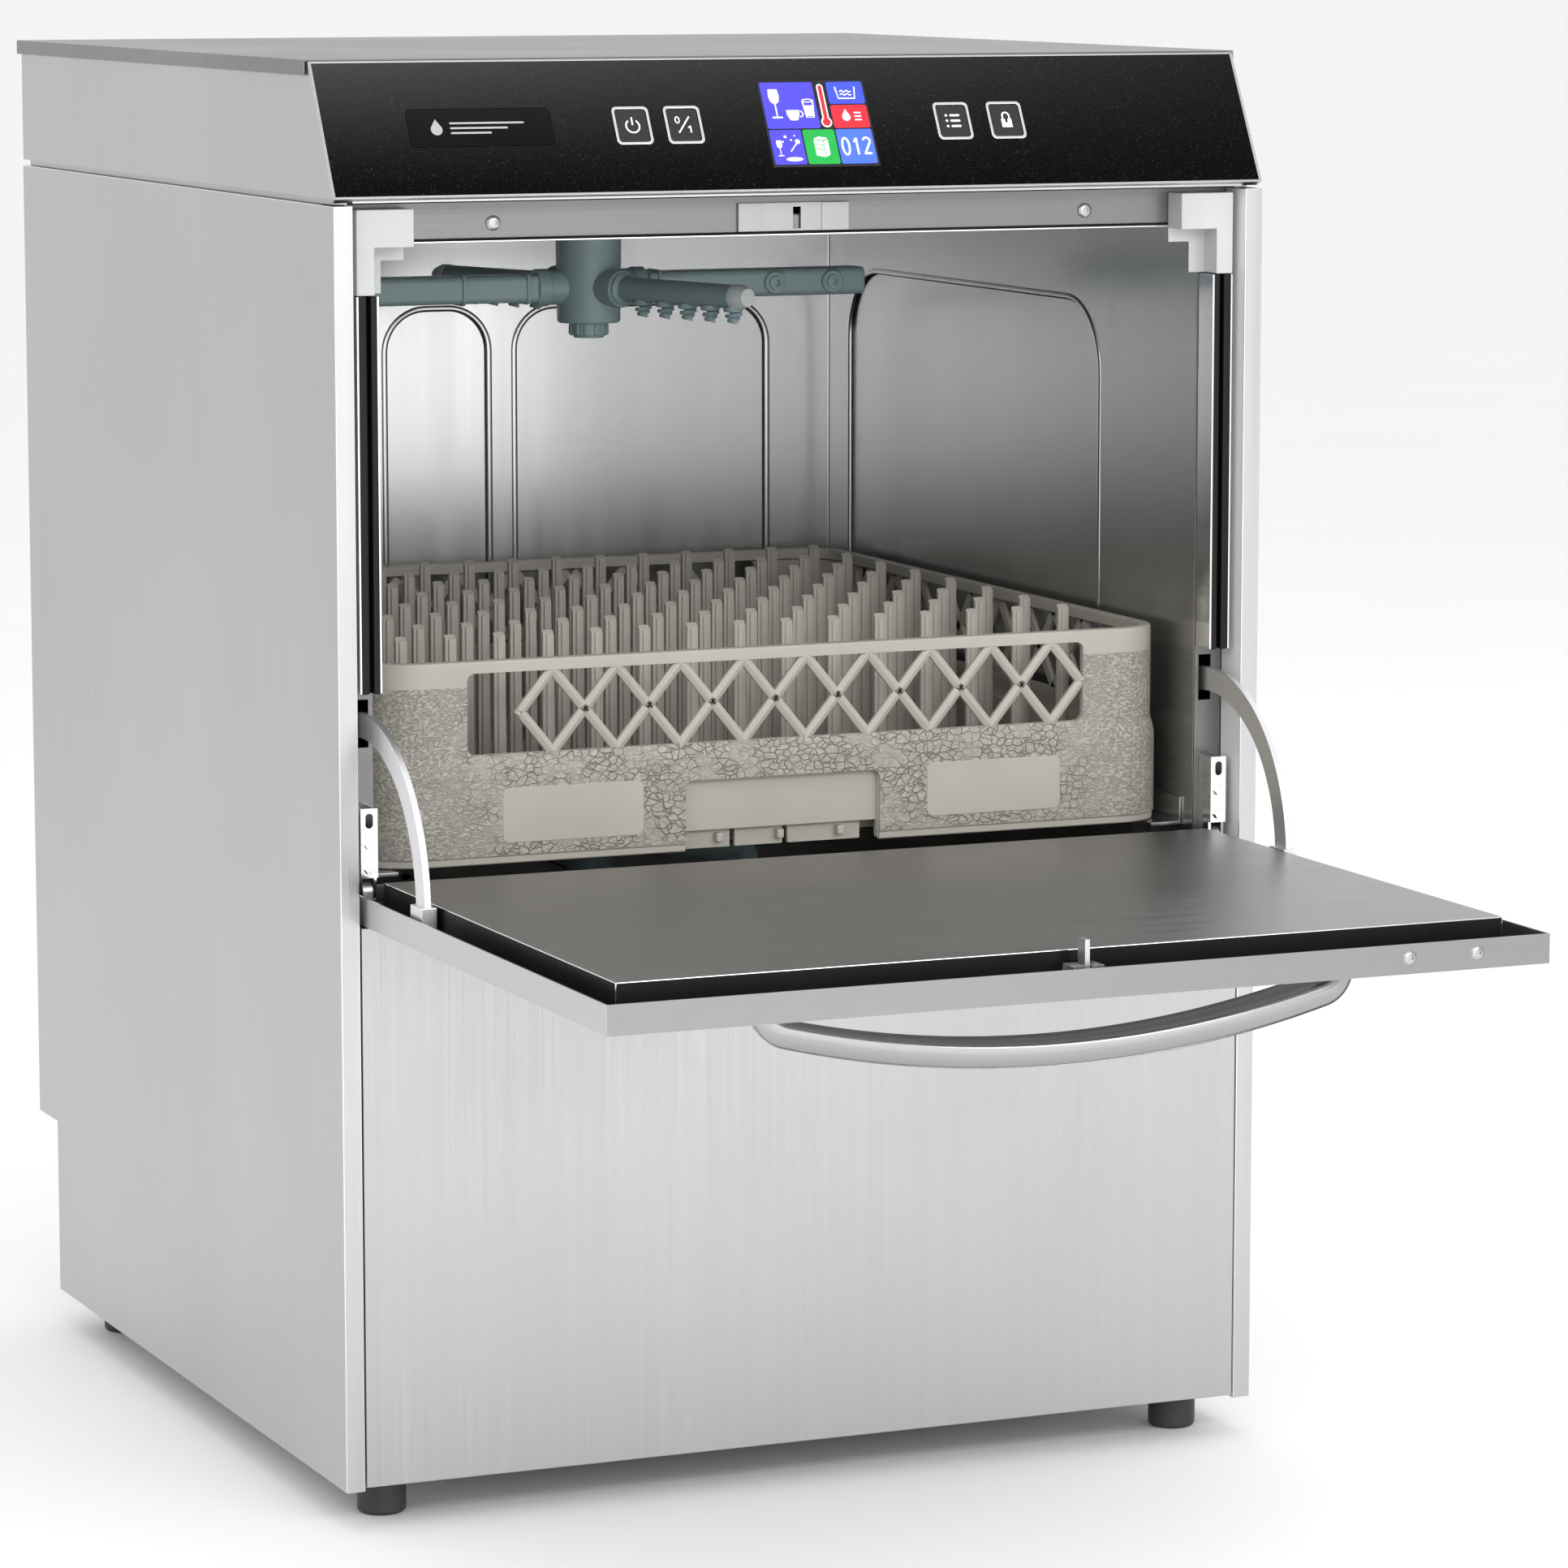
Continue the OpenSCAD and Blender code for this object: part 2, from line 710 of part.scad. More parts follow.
module upper_arm_nut() {
  z1 = arm_z - 22.3;
  color(arm_col) place() translate([0, arm_y, 0]) difference() {
    union() {
      cyl_z(11.8, 0, 0, z1 - 7.5, z1);
      cyl_z(9.5, 0, 0, z1 - 9, z1 - 7.5);
      for (a = [0:30:330]) rotate([0, 0, a]) box(11, 12.4, -1, 1, z1 - 7, z1 - 1);
    }
    cyl_z(7.1, 0, 0, z1 - 8, z1 + 1);
  }
}

module lower_feed_post() {
  z0 = post_foot;
  color(arm_col) place() translate([0, arm_y, 0]) difference() {
    union() {
      cyl_z(post_r, 0, 0, z0, low_arm_z + 10);
      cyl_z(24, 0, 0, 192.1, 196);
      cyl_z(16, 0, 0, low_arm_z - 30, low_arm_z - 12.5);
      cyl_z(14, 0, 0, low_arm_z + 10.4, low_arm_z + 14);
      cyl_z(8, 0, 0, low_arm_z + 9, low_arm_z + 11);
    }
    cyl_z(7.5, 0, 0, z0 - 1, low_arm_z + 8);
  }
}

// ---------- spray arms: children are drawn about the arm's axis ----------

// Bored hub with four sockets for the blades and tubes.
module arm_hub_shape(h0, h1, socket_r) {
  difference() {
    union() {
      cyl_z(hub_r, 0, 0, h0, h1);
      for (a = [0, 180]) rotate([0, 0, a]) cyl_x(socket_r, 0, blade_x0 - 0.1, 0, 0);
      for (a = [tube_a, tube_a + 180]) rotate([0, 0, a]) cyl_x(socket_r, 0, tube_x0 - 0.1, 0, 0);
    }
    cyl_z(hub_bore, 0, 0, h0 - 1, h1 + 1);
  }
}

// Flat hollow-looking blade with a bevelled tip, drawn along +X.
module blade_shape(th) {
  half_d = 11;
  for (a = [0, 180]) rotate([0, 0, a]) intersection() {
    translate([blade_x0, 0, 0]) rotate([90, 0, 90])
      linear_extrude(height = blade_l - blade_x0) round_rect(2 * half_d, th, 4);
    linear_extrude(height = 60, center = true)
      polygon([[30, -20], [blade_l, -20], [blade_l, 2], [blade_l - 7, 20], [30, 20]]);
  }
}

module tube_shape(r0, r1) {
  for (a = [tube_a, tube_a + 180]) rotate([0, 0, a]) {
    translate([tube_x0, 0, 0]) rotate([0, 90, 0])
      cylinder(r1 = r0, r2 = r1, h = tube_l - tube_x0);
  }
}

// Spiral nozzles under the tubes (d = -1) or above them (d = 1), and round blade jets.
module nozzle_shapes(d, r0) {
  for (a = [tube_a, tube_a + 180], i = [0:4]) rotate([0, 0, a])
    translate([52 + i * 21, 0, d * (r0 + 0.1)]) mirror([0, 0, d < 0 ? 1 : 0]) {
      cylinder(r = 6, h = 3.5);
      translate([0, 0, 3.5]) cylinder(r1 = 5, r2 = 2, h = 5.5);
    }
}

module jet_shapes() {
  for (a = [0, 180], jx = [120, 159]) rotate([0, 0, a]) translate([jx, -11.1, 0])
    rotate([90, 0, 0]) {
      cylinder(r = 6.5, h = 2.2);
      translate([0, 0, 2.2]) cylinder(r1 = 4.5, r2 = 3, h = 1.6);
    }
}

module upper_arm_hub() {
  color(arm_col) place() translate([0, arm_y, arm_z]) arm_hub_shape(-22, 36, 11.5);
}

module upper_wash_blades() {
  color(arm_col) place() translate([0, arm_y, arm_z]) blade_shape(17);
}

module upper_rinse_tubes() {
  color(arm_col) place() translate([0, arm_y, arm_z]) tube_shape(7.6, 7.6);
}

module upper_nozzles() {
  color(arm_col) place() translate([0, arm_y, arm_z]) {
    nozzle_shapes(-1, 7.6);
    jet_shapes();
  }
}

module lower_arm() {
  color(arm_col) place() translate([0, arm_y, low_arm_z]) {
    arm_hub_shape(-12, 10, 9.8);
    blade_shape(14);
    difference() {
      tube_shape(9, 7);
      cylinder(r = 30, h = 60, center = true);
    }
    nozzle_shapes(1, 9);
  }
}

// ---------- machinery below the tank ----------

// Volute with an intake from the strainer and an outlet to the riser, and its motor.
module wash_pump() {
  intake_top = 189.8;
  outlet_end = arm_y - 15;
  color(steel_dark) place() difference() {
    union() {
      cyl_x(56, 40, 96, pump_y, pump_z);
      cyl_z(24, pump_x, pump_y, pump_z, intake_top);
      cyl_x(44, 104, 230, pump_y, pump_z);
      cyl_x(30, 96, 104, pump_y, pump_z);
      cyl_y(14, outlet_x, pump_y, outlet_end, feed_z);
      box(120, 215, pump_y - 30, pump_y + 30, equip_z, pump_z - 30);
    }
    cyl_x(46, 50, 90, pump_y, pump_z);
    cyl_x(6.4, 88, 150, pump_y, pump_z);
    cyl_z(20, pump_x, pump_y, pump_z + 20, intake_top + 5);
    cyl_y(11, outlet_x, pump_y + 20, outlet_end + 5, feed_z);
  }
}

module pump_impeller() {
  color(arm_col) place() {
    cyl_x(40, 54, 58, pump_y, pump_z);
    for (a = [0:60:300]) translate([0, pump_y, pump_z]) rotate([a, 0, 0])
      box(58, 76, 9, 38, -1.5, 1.5);
    cyl_x(10, 58, 80, pump_y, pump_z);
    cyl_x(6, 80, 148, pump_y, pump_z);
  }
}

// Horizontal rinse boiler on two saddles, with its element head on one end.
module rinse_boiler() {
  r = 66;
  wall = 1.5;
  cap = 6;
  x0 = 24;
  x1 = 250;
  y = 470;
  z = 100;
  color(steel) place() {
    difference() {
      union() {
        cyl_x(r, x0, x1, y, z);
        cyl_x(r - 8, x0 - cap, x0, y, z);
        cyl_x(r - 8, x1, x1 + cap, y, z);
      }
      cyl_x(r - wall, x0 + wall, x1 - wall, y, z);
    }
    cyl_x(24, x1 + cap, x1 + cap + 12, y, z);
    for (sx = [50, 205]) difference() {
      box(sx, sx + 14, y - 40, y + 40, equip_z, z - 45);
      cyl_x(r - 0.5, sx - 5, sx + 20, y, z);
    }
  }
}

module inlet_valve() {
  color(white) place() {
    cyl_y(10, -150, 505, 546, 90);
    box(-172, -128, 470, 505, 74, 106);
    cyl_z(13, -150, 487, 106, 140);
    box(-166, -134, 474, 500, equip_z, 74);
  }
}

module drain_pump() {
  color(black) place() {
    cyl_x(34, -170, -120, 330, 85);
    cyl_x(26, -120, -60, 330, 85);
    cyl_z(14, -145, 340, 110, 175);
    box(-165, -125, 315, 345, equip_z, 60);
  }
}

module dosing_pumps() {
  color([0.3, 0.32, 0.35]) place() for (py = [90, 160]) {
    box(-245, -190, py - 28, py + 28, equip_z, 95);
    cyl_x(24, -190, -172, py, 62);
    for (hz = [48, 76]) cyl_x(4, -172, -150, py, hz);
  }
}

module water_inlet() {
  color([0.75, 0.62, 0.3]) place() difference() {
    union() {
      cyl_y(10, -150, 546.2, 588, 90);
      cyl_y(13, -150, body_d - notch_d, 562, 90);
    }
    cyl_y(7.5, -150, 560, 590, 90);
  }
}

module drain_outlet() {
  color(black) place() difference() {
    union() {
      cyl_y(15, 120, 546, 570, 75);
      cyl_y(19, 120, body_d - notch_d, 562, 75);
      cyl_y(13, 120, 570, 592, 75);
    }
    cyl_y(10.5, 120, 550, 600, 75);
  }
}

module cable_gland() {
  color(black) place() difference() {
    union() {
      cyl_y(9, 215, 548, 576, 90);
      translate([215, body_d - notch_d, 90]) rotate([-90, 0, 0]) cylinder(r = 13, h = 6, $fn = 6);
      translate([215, 576, 90]) rotate([-90, 0, 0]) cylinder(r1 = 9, r2 = 7, h = 6);
    }
    cyl_y(4.5, 215, 540, 590, 90);
  }
}

// ---------- door, drawn open ----------

// Screw places of the magnet plate at the door's front edge.
function magnet_xs() = [186, 227];

module door_tray() {
  half = door_w / 2;
  color(steel) place() difference() {
    union() {
      box(-half, half, -door_reach, tray_back, tray_z, tray_in);
      box(-half, half, -door_reach, -door_reach + sheet, tray_in, rim_z);
      both_sides()
        box(half - sheet, half, -door_reach + sheet, tray_back, tray_in, rim_z);
      box(-half + sheet, half - sheet, tray_back - sheet, tray_back, tray_in, tray_z + 9.5);
    }
    for (sx = magnet_xs()) cyl_y(2.1, sx, -door_reach - 1, -door_reach + 3, magnet_z);
  }
}

module door_liner() {
  color(steel) place() difference() {
    box(-liner_half, liner_half, -liner_front, liner_back, tray_in, liner_z);
    box(-liner_half + sheet, liner_half - sheet, -liner_front + sheet, liner_back - sheet,
        tray_in - 1, liner_z - sheet);
  }
}

// Rubber profile on the floor of the channel between the tray's rim and the liner.
module door_gasket() {
  g = 0.1;
  half = door_w / 2 - sheet - g;
  color(black) place() difference() {
    box(-half, half, -door_reach + sheet + g, liner_back - 1, tray_in, seal_top);
    box(-liner_half - g, liner_half + g, -liner_front - g, 60, tray_in - 1, seal_top + 1);
    both_sides() box(liner_half + 2.5, liner_half + 4.5, -liner_front, 60, tray_in + 2, seal_top + 1);
    box(-10, 10, -360, -340, tray_in - 1, seal_top + 1);
    box(168, 236, -door_reach, -343, tray_in - 1, seal_top + 1);
    both_sides() box(stay_x - 4.8, stay_x + 4.8, -84.5, -65.5, tray_in - 1, seal_top + 1);
  }
}

// Bow between two end radii, thinned by cut on its inner side when drawn as the pocket.
module bow_shape(cut, y0, y1) {
  end_r = 22;
  end_x = bow_half - end_r;
  mid_r = (bow_half ^ 2 + bow_rise ^ 2 - 2 * bow_half * end_r) / (2 * (bow_rise - end_r));
  mid_h = mid_r - bow_rise;
  reach = 1.2;
  intersection() {
    cyl_y(mid_r - cut, 0, y0, y1, tray_z + mid_h, $fn = 480);
    y_prism(y0 - 1, y1 + 1) translate([0, tray_z + mid_h])
      polygon([[0, 0], [reach * end_x, -reach * mid_h], [-reach * end_x, -reach * mid_h]]);
  }
  both_sides() cyl_y(end_r - cut, end_x, y0, y1, tray_z);
}

// The bow's ends stand on the tray's outer face.
module door_handle() {
  w0 = -327;
  w1 = -301;
  t = 14;
  foot_gap = 0.05;
  color(steel) place() intersection() {
    difference() {
      bow_shape(0, w0, w1);
      bow_shape(t, w0 - 1, w1 + 1);
    }
    box(-bow_half - 5, bow_half + 5, w0 - 2, w1 + 2, tray_z - bow_rise - 5, tray_z - foot_gap);
  }
}

module door_striker() {
  color(steel_dark) place() {
    box(-9, 9, -358, -342, tray_in, tray_in + 2);
    box(-1.5, 1.5, -355, -346, tray_in + 2, 373.5);
  }
}

module striker_cover() {
  color([0.85, 0.88, 0.9]) place() both_sides()
    box(1.8, 9, -357, -344, tray_in + 2.1, tray_z + 16.5);
}

module door_magnet() {
  color(black) place() difference() {
    union() {
      box(170, 234, -360, -344, tray_in, tray_in + 2);
      box(170, 234, -door_reach + sheet + 0.05, -360, tray_in, tray_z + 14.5);
      box(196, 216, -358, -346, tray_in + 2, tray_z + 12);
    }
    for (sx = magnet_xs()) cyl_y(1.95, sx, -door_reach, -358, magnet_z);
  }
}

module door_edge_screws() {
  color(steel) place() for (sx = magnet_xs()) {
    cyl_y(4, sx, -door_reach - 1.2, -door_reach, magnet_z);
    cyl_y(1.9, sx, -door_reach, -359.5, magnet_z);
  }
}

// Quadrant arms about the hinge axis; they run into the cabinet through frame slots.
module stay_arms() {
  color(steel) place() both_sides() {
    x_prism(stay_x - stay_t / 2, stay_x + stay_t / 2) intersection() {
      translate([pivot_y, pivot_z]) difference() {
        circle(r = stay_r1, $fn = 128);
        circle(r = stay_r0, $fn = 128);
      }
      translate([pivot_y, pivot_z]) polygon([
        [0, 0], [150 * cos(75), 150 * sin(75)], [0, 160], [-150, 150],
        [-150, 4.5]]);
    }
    box(stay_x - 4.5, stay_x + 4.5, -84, -66, tray_in, liner_z);
  }
}

module hinge_knuckles() {
  k0 = ear_in + 0.4;
  k1 = ear_out - 0.4;
  color(steel_dark) place() both_sides() difference() {
    union() {
      cyl_x(6, k0, k1, pivot_y, pivot_z);
      box(k0, k1, pivot_y - 6, tray_back - sheet - 0.2, tray_in, pivot_z);
    }
    cyl_x(pin_r + 0.05, k0 - 1, k1 + 1, pivot_y, pivot_z);
  }
}

// ---------- rack ----------

// Lattice openings in (X, Z): diamonds, the triangles between them and one clear end.
module lattice_holes() {
  b = 3;
  zc = (win_z0 + win_z1) / 2;
  hh = (win_z1 - win_z0) / 2;
  hp = dia_pitch / 2;
  x0 = -160.5;
  bx = b * norm([hh, hp]) / hh;
  bz = b * norm([hh, hp]) / hp;
  for (i = [0:8]) translate([x0 + (i + 0.5) * dia_pitch, zc])
    polygon([[-hp + bx, 0], [0, -hh + bz], [hp - bx, 0], [0, hh - bz]]);
  for (i = [0:7], s = [-1, 1]) translate([x0 + (i + 1) * dia_pitch, zc])
    scale([1, s]) polygon([[-hp + bx, hh], [0, bz], [hp - bx, hh]]);
  polygon([[-win_half, win_z0], [x0 + hp - bx, win_z0], [x0 - bx, zc],
           [x0 + hp - bx, win_z1], [-win_half, win_z1]]);
}

// Slots cut through one wall of the rack, drawn for the front wall.
module wall_cuts() {
  y_prism(rack_y - 5, rack_y + 22) lattice_holes();
  box(-61, 61, rack_y - 5, rack_y + 5.2, rack_z - 1, rack_z + 41);
  for (i = [-2:1:2]) box(i * 24 - 8, i * 24 + 8, rack_y - 5, rack_y + 22, rack_z - 1, rack_z + 8);
}

// Smooth label pads and the set-back handle panel of one wall.
module wall_adds() {
  for (px = [-130, 134]) box(px - 43, px + 43, rack_y - 0.5, rack_y, rack_z + 8, rack_z + 45);
  box(-63, 63, rack_y + 5.2, rack_y + 8.2, rack_z, rack_z + 46);
}

module rack_sides() {
  for (a = [0:90:270]) translate([0, rack_cy, 0]) rotate([0, 0, a]) translate([0, -rack_cy, 0])
    children();
}

module rack_ring(w, r, t, z0, z1) {
  translate([0, rack_cy, z0]) linear_extrude(height = z1 - z0) difference() {
    round_rect(w, w, r);
    round_rect(w - 2 * t, w - 2 * t, r - t);
  }
}

module rack_base() {
  cell = 38;
  bar = 4;
  n = 12;
  span = n * cell;
  translate([0, rack_cy, rack_z + 4]) linear_extrude(height = 5) difference() {
    round_rect(rack_w - 6, rack_w - 6, 29);
    for (i = [0:n - 1], j = [0:n - 1])
      translate([(i + 0.5) * cell - span / 2, (j + 0.5) * cell - span / 2])
        square(cell - bar, center = true);
  }
}

module dish_rack() {
  peg_h = 124;
  peg_w = 8;
  peg_d = 6;
  row_pitch = 53;
  peg_pitch = 30;
  color(rack_col) place() {
    difference() {
      union() {
        rack_ring(rack_w, 32, 4.5, rack_z, ledge_z);
        rack_ring(rack_w - 3, 30.5, 8, ledge_z - 4, ledge_z);
        rack_ring(rack_top_w, 29.5, 4.5, ledge_z, rack_top);
        rack_ring(rack_top_w, 29.5, 7, rack_top - 7, rack_top);
      }
      rack_sides() wall_cuts();
    }
    rack_sides() wall_adds();
    rack_base();
    for (j = [-4:3]) translate([0, rack_cy + (j + 0.5) * row_pitch, rack_z]) {
      for (i = [-7:7]) translate([i * peg_pitch, 0, 0])
        box(-peg_w / 2, peg_w / 2, -peg_d / 2, peg_d / 2, 8.9, peg_h);
      box(-225, 225, -2, 2, 4, 22);
    }
  }
}

side_panel_left();
side_panel_right();
base_tray();
feet();
front_frame();
lower_front_panel();
back_panel();
control_housing();
top_lid();
fascia_panel();
badge_blank();
touch_display();
button_frames();
control_board();
button_power();
button_start();
button_program();
button_lock();
latch_plate();
frame_screws();
corner_guides();
opening_seals();
hinge_brackets();
hinge_pins();
hinge_nuts();
wash_chamber();
wash_tank();
rack_rails();
tank_filters();
pump_strainer();
overflow_pipe();
tank_heater();
feed_pipe();
upper_arm_nut();
lower_feed_post();
upper_arm_hub();
upper_wash_blades();
upper_rinse_tubes();
upper_nozzles();
lower_arm();
wash_pump();
pump_impeller();
rinse_boiler();
inlet_valve();
drain_pump();
dosing_pumps();
water_inlet();
drain_outlet();
cable_gland();
door_tray();
door_liner();
door_gasket();
door_handle();
door_striker();
striker_cover();
door_magnet();
door_edge_screws();
stay_arms();
hinge_knuckles();
dish_rack();
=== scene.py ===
import json
import math

import bmesh
import bpy
from mathutils import Matrix, Vector


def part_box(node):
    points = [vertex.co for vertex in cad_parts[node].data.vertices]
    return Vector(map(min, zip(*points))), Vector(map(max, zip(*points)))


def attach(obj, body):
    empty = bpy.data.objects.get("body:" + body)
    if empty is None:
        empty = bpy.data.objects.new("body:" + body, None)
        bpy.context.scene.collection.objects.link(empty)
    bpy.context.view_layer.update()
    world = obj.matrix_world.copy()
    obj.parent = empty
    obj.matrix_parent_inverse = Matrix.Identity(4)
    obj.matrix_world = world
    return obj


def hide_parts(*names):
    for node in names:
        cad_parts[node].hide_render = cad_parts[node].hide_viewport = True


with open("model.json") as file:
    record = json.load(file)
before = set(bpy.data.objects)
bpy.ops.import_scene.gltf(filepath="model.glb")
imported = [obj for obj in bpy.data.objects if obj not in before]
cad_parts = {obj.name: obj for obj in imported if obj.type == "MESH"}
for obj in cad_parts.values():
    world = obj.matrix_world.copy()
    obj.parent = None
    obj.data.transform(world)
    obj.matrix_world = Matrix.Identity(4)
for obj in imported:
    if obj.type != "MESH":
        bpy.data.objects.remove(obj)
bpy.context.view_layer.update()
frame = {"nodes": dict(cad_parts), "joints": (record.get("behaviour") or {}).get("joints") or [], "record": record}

MM = 0.001
shift = Matrix.Translation
NODES = frame["nodes"]
BODY_OF = {n: body for body, ns in frame["record"]["behaviour"]["bodies"].items() for n in ns}
SLOT_OF = {part["node"]: part["material_slot"] for part in frame["record"]["subparts"]}


# ---------- materials ----------

class Graph:
    """Short-hand for building one node material round a Principled shader."""

    def __init__(self, name, **shader):
        self.mat = bpy.data.materials.new(name)
        self.mat.use_nodes = True
        self.tree = self.mat.node_tree
        self.bsdf = self.tree.nodes["Principled BSDF"]
        for socket, value in shader.items():
            self.bsdf.inputs[socket.replace("_", " ")].default_value = value
        self.coord = self.tree.nodes.new("ShaderNodeTexCoord").outputs["Object"]

    def node(self, kind, links=None, **values):
        made = self.tree.nodes.new("ShaderNode" + kind)
        for key, value in values.items():
            if hasattr(made, key):
                setattr(made, key, value)
            else:
                made.inputs[key.replace("_", " ")].default_value = value
        for key, socket in (links or {}).items():
            self.tree.links.new(socket, made.inputs[key])
        return made

    def scaled(self, scale):
        return self.node("Mapping", {"Vector": self.coord}, Scale=scale).outputs["Vector"]

    def noise(self, scale, detail=3.0, rough=0.55, distort=0.0, stretch=(1, 1, 1)):
        made = self.node("TexNoise", {"Vector": self.scaled(stretch)}, Scale=scale, Detail=detail,
                         Roughness=rough, Distortion=distort)
        return made.outputs["Fac"]

    def voronoi(self, scale, feature="F1", vector=None):
        made = self.tree.nodes.new("ShaderNodeTexVoronoi")
        made.feature = feature
        made.inputs["Scale"].default_value = scale
        self.tree.links.new(vector or self.coord, made.inputs["Vector"])
        return made.outputs["Distance"]

    def spread(self, value, lo, hi, out_lo, out_hi):
        made = self.node("MapRange", {"Value": value})
        for key, number in zip(("From Min", "From Max", "To Min", "To Max"), (lo, hi, out_lo, out_hi)):
            made.inputs[key].default_value = number
        return made.outputs["Result"]

    def blend(self, fac, a, b):
        made = self.tree.nodes.new("ShaderNodeMix")
        made.data_type = "RGBA"
        self.tree.links.new(fac, made.inputs["Factor"])
        for socket, colour in ((made.inputs[6], a), (made.inputs[7], b)):
            if isinstance(colour, tuple):
                socket.default_value = (*colour, 1)
            else:
                self.tree.links.new(colour, socket)
        return made.outputs[2]

    def math(self, operation, a, b):
        made = self.tree.nodes.new("ShaderNodeMath")
        made.operation = operation
        for socket, value in zip(made.inputs, (a, b)):
            if isinstance(value, (int, float)):
                socket.default_value = value
            else:
                self.tree.links.new(value, socket)
        return made.outputs["Value"]

    def set(self, socket, value):
        self.tree.links.new(value, self.bsdf.inputs[socket])

    def bump(self, height, strength, distance):
        made = self.node("Bump", {"Height": height}, Strength=strength, Distance=distance)
        self.tree.links.new(made.outputs["Normal"], self.bsdf.inputs["Normal"])


def tint(colour, factor):
    return tuple(min(1.0, c * factor) for c in colour)


def brushed(name, colour, rough, along="z", depth=0.07, streak=0.03, metal=1.0):
    """Stainless sheet with fine parallel grain along one axis and faint cloudy smears."""
    g = Graph(name, Metallic=metal)
    grain_scale = {"x": (5, 1100, 1100), "y": (1100, 5, 1100), "z": (1100, 1100, 5)}[along]
    long_scale = {"x": (1.5, 210, 210), "y": (210, 1.5, 210), "z": (210, 210, 1.5)}[along]
    grain = g.noise(1.0, 2.0, 0.6, stretch=grain_scale)
    bands = g.noise(1.0, 2.0, 0.5, stretch=long_scale)
    cloud = g.noise(5.0, 3.0, 0.5)
    both = g.math("ADD", g.math("MULTIPLY", grain, 0.6), g.math("MULTIPLY", bands, 0.4))
    tone = g.blend(g.spread(both, 0.3, 0.7, 0, 1), tint(colour, 1 - streak), tint(colour, 1 + streak))
    g.set("Base Color", g.blend(g.spread(cloud, 0.35, 0.7, 0, 0.35), tone, tint(colour, 0.93)))
    g.set("Roughness", g.math("ADD", g.spread(grain, 0.3, 0.7, rough - 0.05, rough + 0.07),
                              g.spread(cloud, 0.3, 0.7, -0.02, 0.04)))
    g.bump(grain, depth, 0.0002)
    return g.mat


def polished(name, colour, rough):
    """Bright-rolled or polished steel with soft smears and small handling marks."""
    g = Graph(name, Metallic=1.0)
    smear = g.noise(14.0, 4.0, 0.55, 0.4)
    marks = g.noise(260.0, 3.0, 0.6)
    g.set("Base Color", g.blend(smear, tint(colour, 0.95), tint(colour, 1.03)))
    g.set("Roughness", g.math("ADD", g.spread(smear, 0.3, 0.75, rough, rough + 0.07),
                              g.spread(marks, 0.55, 0.75, 0.0, 0.06)))
    g.bump(smear, 0.06, 0.0006)
    return g.mat


def rolled(name, colour, rough):
    """Cold-rolled sheet of the wash chamber: nearly a mirror, with long faint rolling lines."""
    g = Graph(name, Metallic=1.0)
    lines = g.noise(1.0, 3.0, 0.6, stretch=(60, 60, 2))
    cloud = g.noise(3.5, 2.0, 0.5)
    g.set("Base Color", g.blend(g.spread(cloud, 0.3, 0.7, 0, 1), tint(colour, 0.94),
                                tint(colour, 1.02)))
    g.set("Roughness", g.math("ADD", g.spread(lines, 0.3, 0.7, rough - 0.02, rough + 0.03),
                              g.spread(cloud, 0.3, 0.7, 0.0, 0.05)))
    g.bump(lines, 0.03, 0.0004)
    return g.mat


def moulded(name, colour, rough, grain=900.0, depth=0.12, vary=0.06, specular=0.5):
    """Injection-moulded plastic with a fine spark-eroded texture and slight mottling."""
    g = Graph(name, Specular_IOR_Level=specular)
    fine = g.noise(grain, 2.0, 0.5)
    flow = g.noise(22.0, 3.0, 0.5)
    g.set("Base Color", g.blend(g.spread(flow, 0.3, 0.7, 0, 1), tint(colour, 1 - vary),
                                tint(colour, 1 + vary)))
    g.set("Roughness", g.math("ADD", g.spread(fine, 0.3, 0.7, rough - 0.05, rough + 0.05),
                              g.spread(flow, 0.3, 0.7, -0.03, 0.03)))
    g.bump(fine, depth, 0.0003)
    return g.mat


def painted_light_falloff(g, low, high):
    """Painted light and shade on the sloped front: lighter at its upper left, nearly black lower down."""
    axes = g.node("SeparateXYZ", {"Vector": g.coord})
    lo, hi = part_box("fascia_panel")
    up = g.spread(axes.outputs["Z"], lo.z, hi.z, 0, 1)
    left = g.spread(axes.outputs["X"], lo.x, hi.x, 1, 0.20)
    share = g.math("MULTIPLY", g.math("POWER", up, 1.7), left)
    return g.blend(share, low, high)


def speckled(name):
    """Black coated fascia with a fine light sparkle in it."""
    g = Graph(name, Specular_IOR_Level=0.03)
    dots = g.voronoi(1500.0)
    many = g.noise(700.0, 2.0, 0.6)
    spark = g.math("MULTIPLY", g.spread(dots, 0.0, 0.26, 1, 0), g.spread(many, 0.50, 0.68, 0, 1))
    # painted light: the black coat is lighter at the fascia's upper left and nearly black lower down
    base = painted_light_falloff(g, (0.0020, 0.0020, 0.0021), (0.046, 0.046, 0.047))
    g.set("Base Color", g.blend(spark, base, (0.26, 0.26, 0.27)))
    g.set("Roughness", g.spread(many, 0.3, 0.7, 0.30, 0.42))
    g.bump(many, 0.10, 0.0002)
    return g.mat


def shaded_black(name, specular, rough):
    """Glossy black plate with painted light: it fades lighter towards its upper edge."""
    g = Graph(name, Specular_IOR_Level=specular)
    fine = g.noise(900.0, 2.0, 0.6)
    # painted light: the fascia's lighter-upper-left fade laid on the badge
    g.set("Base Color", painted_light_falloff(g, (0.0025, 0.0025, 0.0026), (0.020, 0.020, 0.0205)))
    g.set("Roughness", g.spread(fine, 0.3, 0.7, rough - 0.04, rough + 0.04))
    g.bump(fine, 0.02, 0.0002)
    return g.mat


